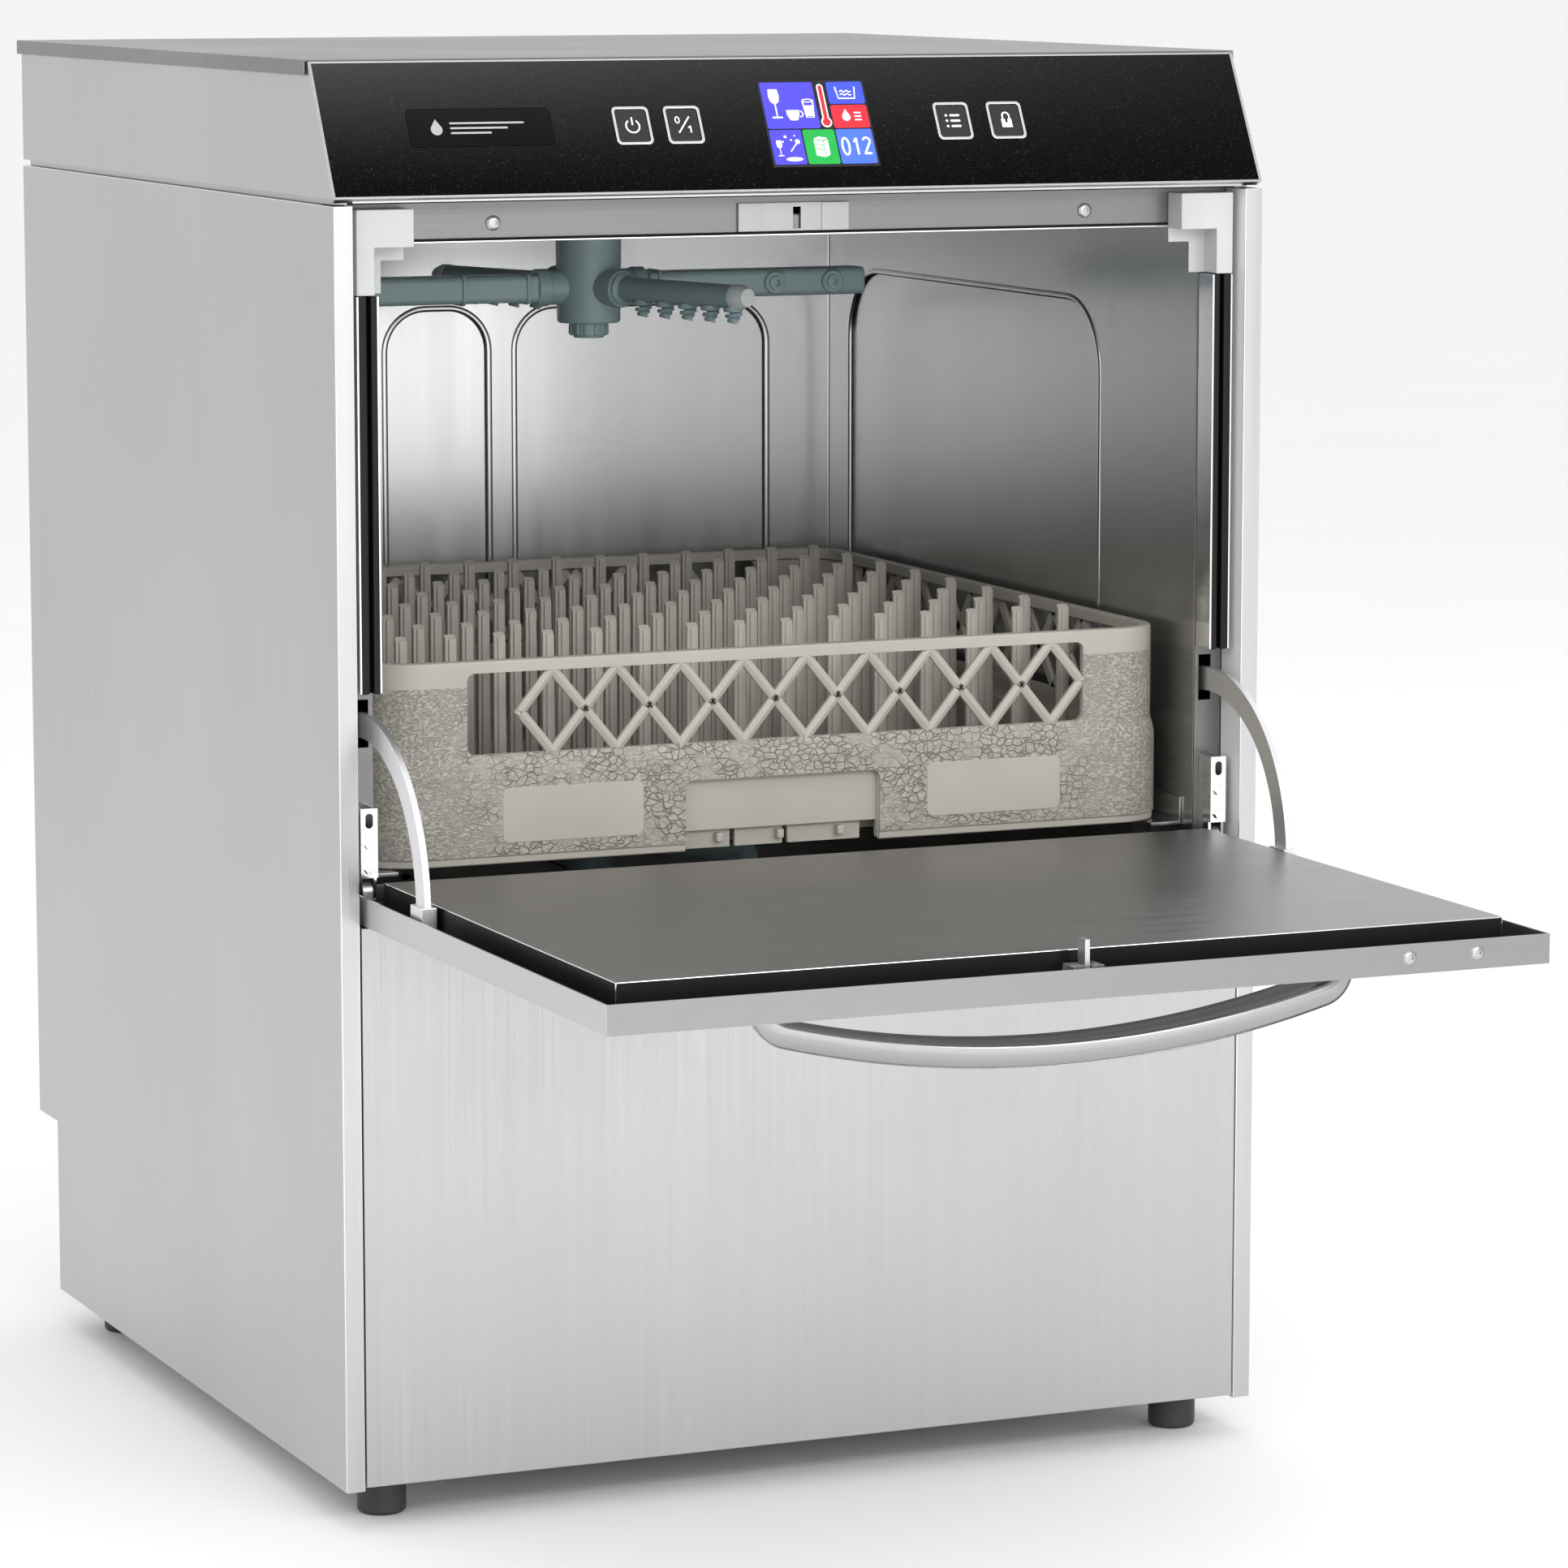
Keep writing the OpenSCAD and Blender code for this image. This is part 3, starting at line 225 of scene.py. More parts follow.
def leather_grain(name, colour):
    """Sand-coloured polypropylene: fine wrinkles, with cracked leather along front and back; the cracks and
    wrinkles are real texture, their dark colour is painted shade.
    """
    g = Graph(name)
    warp = g.node("TexNoise", {"Vector": g.coord}, Scale=130.0, Detail=2.0).outputs["Color"]
    add = g.tree.nodes.new("ShaderNodeVectorMath")
    add.operation = "MULTIPLY_ADD"
    g.tree.links.new(warp, add.inputs[0])
    add.inputs[1].default_value = (0.005, 0.005, 0.005)
    g.tree.links.new(g.scaled((0.72, 0.72, 1.0)), add.inputs[2])
    big = g.voronoi(250.0, "DISTANCE_TO_EDGE", add.outputs[0])
    small = g.noise(1.0, 3.0, 0.6, 0.6, stretch=(440, 440, 720))
    # the cracks fade out towards the corners and leave the side walls
    axes = g.node("SeparateXYZ", {"Vector": g.coord})
    off_x = g.math("ABSOLUTE", axes.outputs["X"], 0)
    wall = g.spread(g.math("ADD", off_x, g.math("MULTIPLY", g.noise(35.0, 3.0), 0.05)),
                    0.205, 0.245, 1, 0)
    broken = g.spread(g.noise(60.0, 3.0), 0.36, 0.52, 0.25, 1)
    lines = g.math("MULTIPLY", g.spread(big, 0.0, 0.085, 1, 0), g.math("MULTIPLY", wall, broken))
    dashes = g.math("MULTIPLY", g.spread(small, 0.44, 0.62, 0, 1), g.spread(wall, 0, 1, 0.54, 0.30))
    # painted shade: crack lines and wrinkle dashes darken the sand colour as if shade lay in them
    painted_crack_shade = g.math("MAXIMUM", g.math("MULTIPLY", lines, 0.84), dashes)
    tone = g.blend(g.noise(30.0, 3.0), tint(colour, 0.95), tint(colour, 1.06))
    # painted shade in the cracks: the colour drops to 0.3 of the sand
    g.set("Base Color", g.blend(painted_crack_shade, tone, tint(colour, 0.30)))
    g.set("Roughness", g.spread(painted_crack_shade, 0.0, 1.0, 0.46, 0.66))
    g.bump(g.math("SUBTRACT", 1.0, painted_crack_shade), 0.80, 0.0012)
    return g.mat


def clear(name, colour, rough=0.12):
    g = Graph(name, Roughness=rough, IOR=1.49, Transmission_Weight=0.9)
    g.set("Base Color", g.blend(g.noise(60.0), tint(colour, 0.9), tint(colour, 1.05)))
    g.bump(g.noise(240.0), 0.15, 0.0004)
    return g.mat


def lit(name, colour, glow=0.55):
    """Backlit picture element of the display, a little uneven like a real panel."""
    g = Graph(name, Roughness=0.18, Emission_Strength=glow)
    drift = g.blend(g.noise(45.0, 2.0), tint(colour, 0.86), tint(colour, 1.12))
    g.set("Base Color", drift)
    g.set("Emission Color", drift)
    return g.mat


STEEL = (0.50, 0.502, 0.504)
SAND = (0.405, 0.381, 0.334)
MATS = {
    "casing": brushed("casing_steel", STEEL, 0.36, "z"),
    "panel": brushed("panel_steel", (0.455, 0.456, 0.458), 0.36, "z", 0.10, 0.05),
    "casing_x": brushed("casing_steel_across", STEEL, 0.34, "x"),
    "chamber": rolled("chamber_steel", (0.56, 0.56, 0.56), 0.21),
    "liner": brushed("liner_steel", (0.365, 0.36, 0.35), 0.38, "x", 0.03, 0.03),
    "inner": brushed("inner_steel", (0.52, 0.53, 0.54), 0.42, "y", 0.10, 0.06),
    "bright": polished("bright_steel", (0.80, 0.80, 0.81), 0.09),
    "fascia": speckled("fascia_black"),
    "key": moulded("key_black", (0.012, 0.012, 0.014), 0.28),
    "glass": moulded("display_glass", (0.006, 0.006, 0.012), 0.10),
    "white": moulded("guide_white", (0.50, 0.50, 0.496), 0.42),
    "seal": moulded("seal_rubber", (0.005, 0.005, 0.0055), 0.42, 420.0, 0.12, specular=0.22),
    "foot": moulded("foot_black", (0.030, 0.030, 0.032), 0.52, 600.0, 0.25),
    "arm": moulded("arm_plastic", (0.245, 0.335, 0.35), 0.40, 700.0, 0.15),
    "rack": moulded("rack_plastic", SAND, 0.50, 800.0, 0.12, 0.04),
    "rack_grain": leather_grain("rack_plastic_grained", SAND),
    "pump": moulded("pump_plastic", (0.07, 0.075, 0.08), 0.50),
    "clear": clear("clear_plastic", (0.85, 0.88, 0.9)),
    "board": moulded("board_green", (0.02, 0.10, 0.035), 0.45),
    "brass": polished("fitting_brass", (0.72, 0.52, 0.22), 0.28),
    # painted shade: a darker copy of the steel for the front frame, as if in shade under the fascia
    "frame": brushed("frame_steel_painted_shade", (0.20, 0.20, 0.20), 0.38, "x", 0.05, 0.03),
    "latch": brushed("latch_steel", (0.36, 0.36, 0.36), 0.42, "z", 0.04, 0.02),
    "lid": brushed("lid_steel", (0.235, 0.235, 0.237), 0.36, "x", 0.05, 0.02),
    "tray": brushed("tray_steel", (0.27, 0.27, 0.27), 0.36, "x", 0.06, 0.03),
    # painted light: lighter copies of the door tray's steel for its side faces and its downward face
    "tray_side": brushed("tray_side_steel_painted_light", (0.56, 0.56, 0.56), 0.36, "y", 0.06, 0.03),
    "door_face": brushed("door_face_steel_painted_light", (0.36, 0.36, 0.362), 0.36, "x", 0.06, 0.03),
    # painted light: a pale, mostly non-metal copy of the side-panel steel, so the return faces at the door opening
    # read lit instead of shaded
    "jamb": brushed("jamb_steel_painted_light", (0.86, 0.86, 0.86), 0.55, "z", 0.05, 0.02, 0.25),
    "satin": brushed("satin_steel", (0.78, 0.78, 0.78), 0.40, "z", 0.05, 0.02),
    "handle": polished("handle_steel", (0.345, 0.345, 0.349), 0.15),
    "screw": polished("screw_steel", (0.42, 0.42, 0.425), 0.22),
    "badge": shaded_black("badge_black", 0.05, 0.30),
    "arm_light": moulded("arm_plastic_light", (0.52, 0.57, 0.57), 0.45, 700.0, 0.15),
    "print_white": lit("print_white", (0.80, 0.80, 0.80), 0.25),
    "print_grey": moulded("print_grey", (0.42, 0.42, 0.43), 0.40),
    "tile_violet": lit("tile_violet", (0.055, 0.045, 0.62)),
    "tile_blue": lit("tile_blue", (0.035, 0.06, 0.75)),
    "tile_red": lit("tile_red", (0.72, 0.012, 0.025)),
    "tile_green": lit("tile_green", (0.005, 0.30, 0.045)),
    "tile_sky": lit("tile_sky", (0.05, 0.12, 0.85)),
}
SLOT_LOOK = {
    "casing_steel": "casing", "chamber_steel": "chamber", "inner_steel": "inner",
    "bright_steel": "bright", "fascia_black": "fascia", "key_black": "key",
    "display_glass": "glass", "guide_white": "white", "seal_rubber": "seal",
    "foot_black": "foot", "arm_plastic": "arm", "rack_plastic": "rack",
    "pump_plastic": "pump", "clear_plastic": "clear", "board_green": "board",
    "fitting_brass": "brass",
}


# ---------- mesh helpers ----------

def dress(obj, *looks):
    if obj.data.materials:
        obj.data.materials.clear()
    for look in looks:
        obj.data.materials.append(MATS[look])


def place(obj, node, looks, body=None):
    """Ends a new piece: its materials and the body it rides on."""
    dress(obj, *looks)
    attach(obj, body or BODY_OF[node])
    return obj


def linked(name, bm):
    bmesh.ops.recalc_face_normals(bm, faces=bm.faces)
    mesh = bpy.data.meshes.new(name)
    bm.to_mesh(mesh)
    bm.free()
    obj = bpy.data.objects.new(name, mesh)
    bpy.context.scene.collection.objects.link(obj)
    return obj


def rounded(obj, width, segments=2, angle=35.0):
    """Rounds every sharp edge; the weighted normals keep flat faces flat."""
    for polygon in obj.data.polygons:
        polygon.use_smooth = True
    if width:
        mod = obj.modifiers.new("edges", "BEVEL")
        mod.width = width
        mod.segments = segments
        mod.limit_method = "ANGLE"
        mod.angle_limit = math.radians(angle)
        mod.use_clamp_overlap = True
    mod = obj.modifiers.new("normals", "WEIGHTED_NORMAL")
    mod.mode = "FACE_AREA"
    mod.weight = 90
    return obj


def sharp(obj, angle=32.0):
    """Smooth faces with a crease wherever two faces meet at more than the angle."""
    for polygon in obj.data.polygons:
        polygon.use_smooth = True
    obj.data.set_sharp_from_angle(angle=math.radians(angle))
    return obj


def softened(node, width, looks, segments=2):
    """A piece with the CAD node's own shape and every sharp edge rounded."""
    bm = bmesh.new()
    bm.from_mesh(NODES[node].data)
    bmesh.ops.remove_doubles(bm, verts=bm.verts, dist=2e-6)
    bmesh.ops.dissolve_limit(bm, angle_limit=math.radians(0.6), verts=bm.verts, edges=bm.edges)
    obj = linked(node + "_shell", bm)
    rounded(obj, width, segments)
    place(obj, node, looks)
    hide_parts(node)
    return obj


def second_look(obj, look, chosen):
    """Gives the faces picked by their normal and centre a further material."""
    obj.data.materials.append(MATS[look])
    last = len(obj.data.materials) - 1
    for polygon in obj.data.polygons:
        if chosen(polygon.normal, polygon.center):
            polygon.material_index = last


def mm(*points):
    """Points given in millimetres, in metres."""
    return [(a * MM, b * MM) for a, b in points]


def ellipse(cx, cy, rx, ry, n):
    turns = [2 * math.pi * i / n for i in range(n)]
    return [(cx + rx * math.cos(t), cy + ry * math.sin(t)) for t in turns]


def loop_at(bm, outline, z, matrix):
    """Vertices of an outline laid at a height in the matrix's own frame."""
    return [bm.verts.new(matrix @ Vector((u, v, z))) for u, v in outline]


def skin(bm, rows, closed=False):
    """Faces between each row of vertices and the next one; closed joins the last to the first."""
    made = []
    for low, up in zip(rows, rows[1:] + (rows[:1] if closed else [])):
        for i in range(len(low)):
            j = (i + 1) % len(low)
            made.append(bm.faces.new((low[i], low[j], up[j], up[i])))
    return made


def paint(faces, index):
    for face in faces:
        face.material_index = index


def prism(bm, outline, depth, matrix, index=0):
    """Adds a closed prism: the outline lies in the local X-Y plane, depth along local Z."""
    low, high = [loop_at(bm, outline, z, matrix) for z in (0, depth)]
    paint([bm.faces.new(list(reversed(low))), bm.faces.new(high)] + skin(bm, [low, high]), index)


def block(bm, x0, x1, y0, y1, z0, z1):
    prism(bm, [(x0, y0), (x1, y0), (x1, y1), (x0, y1)], z1 - z0, shift((0, 0, z0)))


def arc(cx, cy, r, a0, a1, n):
    return [(cx + r * math.cos(math.radians(a0 + (a1 - a0) * i / n)),
             cy + r * math.sin(math.radians(a0 + (a1 - a0) * i / n))) for i in range(n + 1)]


def round_rect(w, h, r, n=6, cx=0.0, cy=0.0):
    points = []
    for sx, sy, a in ((1, 1, 0), (-1, 1, 90), (-1, -1, 180), (1, -1, 270)):
        points += arc(cx + sx * (w / 2 - r), cy + sy * (h / 2 - r), r, a, a + 90, n)
    return points


def stroke(bm, points, width, depth, matrix, index=0, closed=False):
    """Adds a line of constant width through the points, as one raised strip."""
    count = len(points)
    left, right = [], []
    for i, (x, y) in enumerate(points):
        before = points[i - 1] if i or closed else points[i]
        after = points[(i + 1) % count] if i < count - 1 or closed else points[i]
        along = Vector((after[0] - before[0], after[1] - before[1])).normalized()
        side = Vector((-along.y, along.x)) * width / 2
        left.append((x + side.x, y + side.y))
        right.append((x - side.x, y - side.y))
    (ll, lr), (hl, hr) = [[loop_at(bm, edge, z, matrix) for edge in (left, right)] for z in (0, depth)]
    made = []
    for i in range(count if closed else count - 1):
        j = (i + 1) % count
        made += [bm.faces.new((hl[i], hr[i], hr[j], hl[j])), bm.faces.new((ll[i], ll[j], lr[j], lr[i])),
                 bm.faces.new((ll[i], hl[i], hl[j], ll[j])), bm.faces.new((lr[i], lr[j], hr[j], hr[i]))]
    for i in () if closed else (0, count - 1):
        made.append(bm.faces.new((ll[i], lr[i], hr[i], hl[i])))
    paint(made, index)


def lathe(bm, profile, matrix, n, index=0, closed=False):
    """Adds a solid turned about local Z from (radius, height) points; a closed profile is a ring."""
    rings = [loop_at(bm, ellipse(0, 0, r, r, n) if r > 0 else [(0, 0)], h, matrix) for r, h in profile]
    made = []
    for low, up in zip(rings, rings[1:] + (rings[:1] if closed else [])):
        for i in range(n):
            j = (i + 1) % n
            corners = [low[i % len(low)], low[j % len(low)], up[j % len(up)], up[i % len(up)]]
            corners = list(dict.fromkeys(corners))
            if len(corners) > 2:
                made.append(bm.faces.new(corners))
    for end in () if closed else (rings[0], rings[-1]):
        if len(end) > 2:
            made.append(bm.faces.new(end))
    paint(made, index)


def turned(axis, where):
    """A matrix whose local Z lies along the given direction."""
    return shift(where) @ Vector(axis).to_track_quat("Z", "X").to_matrix().to_4x4()


def axes(x, y, z):
    """A turn that takes the local axes to the three given directions."""
    return Matrix((x, y, z)).transposed().to_4x4()


# ---------- control fascia ----------

INWARD = Vector([j for j in frame["joints"] if j["name"] == "power_key"][0]["axis"])
OUT = -INWARD.normalized()
RISE = OUT.cross(Vector((1, 0, 0)))
FACE = max(v.co.dot(OUT) for v in NODES["fascia_panel"].data.vertices)


def slope_span(node):
    """Lower and upper end of a node, measured up the slope."""
    ups = [v.co.dot(RISE) for v in NODES[node].data.vertices]
    return min(ups), max(ups)


def on_fascia(node, lift):
    """Local frame on the sloped face at a node's centre: X across, Y up the slope, Z outwards."""
    xs = [v.co.x for v in NODES[node].data.vertices]
    origin = Vector(((min(xs) + max(xs)) / 2, 0, 0)) + RISE * sum(slope_span(node)) / 2
    return shift(origin + OUT * (FACE + lift)) @ axes(Vector((1, 0, 0)), RISE, OUT)


ICON_T = 0.12 * MM      # how far an icon's lines stand up


class Pen:
    """Draws raised lines and areas of an icon from sizes in scaled millimetres."""

    def __init__(self, bm, where, scale=1.0):
        self.bm, self.where, self.scale = bm, where, scale * MM

    def points(self, outline):
        return [(u * self.scale, v * self.scale) for u, v in outline]

    def line(self, points, width=0.9, closed=False):
        stroke(self.bm, self.points(points), width * self.scale, ICON_T, self.where, 0, closed)

    def area(self, outline):
        prism(self.bm, self.points(outline), ICON_T, self.where)


def icon_power(pen):
    pen.line(arc(0, -0.4, 4.0, 125, 415, 28))
    pen.line([(0, 0.2), (0, 5.0)])


def icon_start(pen):
    pen.line(ellipse(-3.6, 3.0, 1.2, 1.9, 20), 0.7, True)
    pen.line([(-3.8, -5.0), (3.8, 5.0)])
    pen.line([(2.2, -2.0), (3.6, -0.9)], 0.7)
    pen.line([(3.6, -0.7), (3.6, -5.0)], 0.8)


def icon_program(pen):
    for v in (3.4, 0.0, -3.4):
        pen.area(round_rect(6.2, 1.3, 0.5, 3, 1.4, v))
        pen.area(round_rect(1.5, 1.5, 0.7, 3, -3.9, v))


def icon_lock(pen):
    side, low, mid, top = 3.2, -4.6, -1.6, 0.6
    pen.area([(-side, low), (side, low), (side, mid), (-side, mid)])
    pen.area([(-side, mid), (-0.8, mid), (-0.8, top), (-side, top)])
    pen.area([(0.8, mid), (side, mid), (side, top), (0.8, top)])
    pen.line([(-2.1, top)] + arc(0, 2.6, 2.1, 180, 0, 14) + [(2.1, top)], 1.0)


def key_icons():
    drawings = {"button_power": icon_power, "button_start": icon_start,
                "button_program": icon_program, "button_lock": icon_lock}
    for node, draw in drawings.items():
        softened(node, 0.5 * MM, ["key"])
        bm = bmesh.new()
        draw(Pen(bm, on_fascia(node, 0.2 * MM)))
        place(linked(node + "_icon", bm), node, ["print_white"])


def digit(pen, name, cx):
    """Figure 0, 1 or 2 built from lines."""
    w, h, width = 4.2, 10.5, 1.25
    x0, x1, y0, y1 = cx - w / 2, cx + w / 2, -h / 2, h / 2
    if name == "0":
        pen.line(ellipse(cx, 0, w / 2, h / 2, 28), width, True)
    elif name == "1":
        pen.line([(cx + w * 0.1, y0), (cx + w * 0.1, y1)], width)
        pen.line([(cx - w * 0.32, y1 * 0.5), (cx + w * 0.1, y1 * 0.96)], width * 0.9)
    else:
        foot = y0 + width / 2
        pen.line(arc(cx, y1 - w / 2, w / 2, 165, -35, 14) + [(x0, foot)], width)
        pen.line([(x0 - width * 0.3, foot), (x1, foot)], width)


def mirrored(half):
    """Mirrors a right-hand half outline about the Y axis."""
    return half + [(-u, v) for u, v in reversed(half)]


def glass(pen):
    pen.area(mirrored([(2.4, 8.2), (2.9, 4.5), (2.2, 1.4), (0.4, 0)]))
    pen.line([(0, 0.2), (0, -7.0)], 0.7)
    pen.area(round_rect(5.6, 0.9, 0.4, 3, 0, -7.2))


def cup(pen):
    pen.area(mirrored([(4.2, 3.2), (4.0, 0), (2.6, -3.2), (1.6, -3.6)]))
    pen.line(arc(4.4, 0.6, 1.9, 80, -95, 12), 0.8)


def tumbler(pen):
    pen.line([(-3.2, 5.2), (-2.2, -5.2), (2.2, -5.2), (3.2, 5.2)])
    pen.area([(-2.5, 2.2), (-1.7, -4.4), (1.7, -4.4), (2.5, 2.2)])
    pen.line(ellipse(0, 5.2, 3.2, 0.9, 20), 0.6, True)


def display_picture():
    """Backlit tiles with pictograms, as raised elements on the glass."""
    lo, hi = slope_span("touch_display")
    box_lo, box_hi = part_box("touch_display")
    w, h = (box_hi.x - box_lo.x) * 0.97, (hi - lo) * 0.96
    m = on_fascia("touch_display", 0.21 * MM)
    gap, tile_t = 0.9 * MM, 0.08 * MM

    def tile(u0, u1, v0, v1):
        """Rectangle in shares of the picture, u to the right and v down from the top."""
        x0, x1 = (u0 - 0.5) * w + gap / 2, (u1 - 0.5) * w - gap / 2
        y0, y1 = (0.5 - v1) * h + gap / 2, (0.5 - v0) * h - gap / 2
        return round_rect(x1 - x0, y1 - y0, 1.2 * MM, 3, (x0 + x1) / 2, (y0 + y1) / 2)

    bm = bmesh.new()
    for area, index in (((0, 0.52, 0, 0.57), 0), ((0.64, 1, 0, 0.28), 1), ((0.64, 1, 0.28, 0.57), 2),
                        ((0, 0.32, 0.57, 1), 0), ((0.32, 0.64, 0.57, 1), 3), ((0.64, 1, 0.57, 1), 4)):
        prism(bm, tile(*area), tile_t, m, index)
    place(linked("display_tiles", bm), "touch_display",
          ["tile_violet", "tile_blue", "tile_red", "tile_green", "tile_sky"])

    bm = bmesh.new()

    def at(u, v):
        return m @ shift((0, 0, tile_t)) @ shift(((u - 0.5) * w, (0.5 - v) * h, 0))

    def pen(u, v, scale=1.0):
        return Pen(bm, at(u, v), scale)

    glass(pen(0.12, 0.27, 1.15))
    cup(pen(0.275, 0.40, 0.95))
    tumbler(pen(0.435, 0.33))
    glass(pen(0.08, 0.80, 0.62))
    for u, v, r in ((0.15, 0.66, 0.9), (0.20, 0.70, 0.6), (0.12, 0.72, 0.55), (0.24, 0.65, 0.5)):
        pen(u, v).area(arc(0, 0, r, 0, 342, 19))
    pen(0.22, 0.78).line([(-2.6, -3.0), (2.6, 3.0)], 0.7)
    pen(0.26, 0.72).area(arc(0, 0, 1.5, 0, 342, 19))
    pen(0.20, 0.93).area(ellipse(0, 0, 5.2, 1.3, 28))
    for name, x in (("0", -6.6), ("1", 0.0), ("2", 6.6)):
        digit(pen(0.82, 0.785), name, x)
    # tank symbol: a tub with two waves; boiler symbol: a drop and three bars
    tub = pen(0.82, 0.14)
    tub.line([(-6, 3.6), (-5, -3.6), (5, -3.6), (6, 3.6)])
    for v in (0.9, -1.1):
        tub.line([(x, v + 0.55 * math.sin(x * 1.9)) for x in [i * 0.5 - 3.6 for i in range(15)]], 0.7)
    pen(0.78, 0.425).area([(0, 4.6)] + arc(0, -0.4, 2.5, 30, -210, 16))
    for v in (2.2, 0.0, -2.2):
        pen(0.84, 0.425).line([(1.2, v), (5.4, v)])
    # machine symbol: a box with a lid and a door
    machine = pen(0.48, 0.785)
    machine.area([(-4, -5.4), (1.6, -6.6), (1.6, 3.4), (-4, 4.4)])
    machine.area([(2.1, -6.5), (4.6, -4.9), (4.6, 4.6), (2.1, 3.4)])
    machine.area([(-4, 5.0), (1.8, 4.0), (4.6, 5.3), (-0.6, 6.4)])
    place(linked("display_icons", bm), "touch_display", ["print_white"])

    bm = bmesh.new()
    lines = at(0.48, 0.785) @ shift((0, 0, ICON_T))
    for v in (1.4, -1.6):
        stroke(bm, mm((-3.9, v + 0.5), (1.5, v - 0.5)), 0.5 * MM, 0.04 * MM, lines)
    place(linked("display_machine_lines", bm), "touch_display", ["tile_green"])

    # thermometer between the tiles: white outline with a red column
    for name, grow, look, lift in (("outline", 0.9, "print_white", 0.0),
                                   ("column", 0.0, "tile_red", ICON_T)):
        bm = bmesh.new()
        bulb_r, neck = 2.4 + grow, 1.1 + grow
        start = math.degrees(math.asin(neck / bulb_r))
        outline = arc(0, -10.0, bulb_r, 90 + start, 450 - start, 28) + arc(0, 12.0, neck, 0, 180, 10)
        Pen(bm, at(0.58, 0.30) @ shift((0, 0, lift))).area(outline)
        place(linked("display_thermometer_" + name, bm), "touch_display", [look])


def fascia_trim():
    """Bright edge strips round the black fascia and the blank badge with its drop symbol."""
    low, high = slope_span("fascia_panel")
    box_lo, box_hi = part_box("fascia_panel")
    bm = bmesh.new()
    sunk, thick, width, gap = 2.6 * MM, 2.9 * MM, 1.3 * MM, 0.05 * MM
    face = shift(OUT * (FACE - sunk)) @ axes(Vector((1, 0, 0)), RISE, OUT)
    for v in (low - width - gap, high + gap):
        prism(bm, [(box_lo.x - width, v), (box_hi.x + width, v), (box_hi.x + width, v + width),
                   (box_lo.x - width, v + width)], thick, face)
    for u in (box_lo.x - width - gap, box_hi.x + gap):
        prism(bm, [(u, low), (u + width, low), (u + width, high), (u, high)], thick, face)
    trim = rounded(linked("fascia_edge_trim", bm), 0.35 * MM)
    place(trim, "control_housing", ["casing_x"])

    bm = bmesh.new()
    badge = on_fascia("badge_blank", 0.25 * MM)
    Pen(bm, badge @ shift((-26 * MM, 0, 0))).area([(0, 5.2)] + arc(0, -1.2, 3.4, 30, -210, 18))
    for v, length in ((2.6, 44.0), (-0.4, 34.0), (-3.4, 24.0)):
        Pen(bm, badge).area(round_rect(length, 1.1, 0.5, 3, length / 2 - 18, v))
    place(linked("badge_symbol", bm), "badge_blank", ["print_grey"])


# ---------- dish rack ----------

RACK_LO, RACK_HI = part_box("dish_rack")
RACK_Y = (RACK_LO.y + RACK_HI.y) / 2
RACK_Z = RACK_LO.z
RACK_W = 502 * MM
RACK_R = 32 * MM
WALL_MID = 4.75 * MM


def rack_side(quarter):
    """Local frame of one wall: X to the right, Y upwards, Z outwards, origin at its lower middle."""
    turn = Matrix.Rotation(quarter * math.pi / 2, 4, "Z")
    wall = shift((0, -RACK_W / 2, 0)) @ Matrix.Rotation(math.pi / 2, 4, "X")
    return shift((0, RACK_Y, RACK_Z)) @ turn @ wall


def rack_shell():
    """Swept wall with a plinth, a ledge and a smooth rim, cut by windows and hand holds."""
    outside = [(1.6, 0), (0.9, 0.7), (0.9, 4.1), (0, 4.9), (0, 50), (0.2, 52.5), (0.8, 55.5),
               (1.7, 58.5), (2.3, 60.6), (2.5, 62), (2.5, 101.5), (2.5, 114.4), (2.8, 115.4),
               (3.6, 116)]
    inside = [(8.6, 116), (9.3, 115.6), (9.5, 114.8), (9.5, 109.6), (7.0, 108.4), (7.0, 60),
              (6.2, 55.5), (4.5, 50), (4.5, 0.6), (4.0, 0)]
    bm = bmesh.new()
    rows = []
    for inset, z in outside + inside:
        d = inset * MM
        path = round_rect(RACK_W - 2 * d, RACK_W - 2 * d, RACK_R - d, 12, 0, RACK_Y)
        rows.append(loop_at(bm, path, RACK_Z + z * MM, Matrix.Identity(4)))
    skin(bm, rows, True)
    shell = linked("rack_shell", bm)
    bm = bmesh.new()
    for quarter in range(4):
        m = rack_side(quarter) @ shift((0, 0, -22 * MM))
        prism(bm, round_rect(386 * MM, 46.5 * MM, 4.5 * MM, 5, 0, 85.75 * MM), 30 * MM, m)
        hold = [(-61, -3), (61, -3)] + arc(56, 36, 5, 0, 90, 5) + arc(-56, 36, 5, 90, 180, 5)
        prism(bm, mm(*hold), 30 * MM, m)
    cutter = linked("rack_cutter", bm)
    mod = shell.modifiers.new("cut", "BOOLEAN")
    mod.object = cutter
    mod.solver = "EXACT"
    bpy.context.view_layer.update()
    cut = bpy.data.meshes.new_from_object(shell.evaluated_get(bpy.context.evaluated_depsgraph_get()))
    shell.modifiers.clear()
    shell.data = cut
    bpy.data.objects.remove(cutter)
    place(shell, "dish_rack", ["rack", "rack_grain"])
    middle = Vector((0, RACK_Y, 0))
    for polygon in shell.data.polygons:
        away = (polygon.center - middle) * Vector((1, 1, 0))
        outward = away.normalized().dot(polygon.normal) > 0.3
        height = (polygon.center.z - RACK_Z) / MM
        polygon.material_index = int(outward and 4.9 < height < 101.5)
    rounded(shell, 0.5 * MM, 2, 38)
    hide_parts("dish_rack")


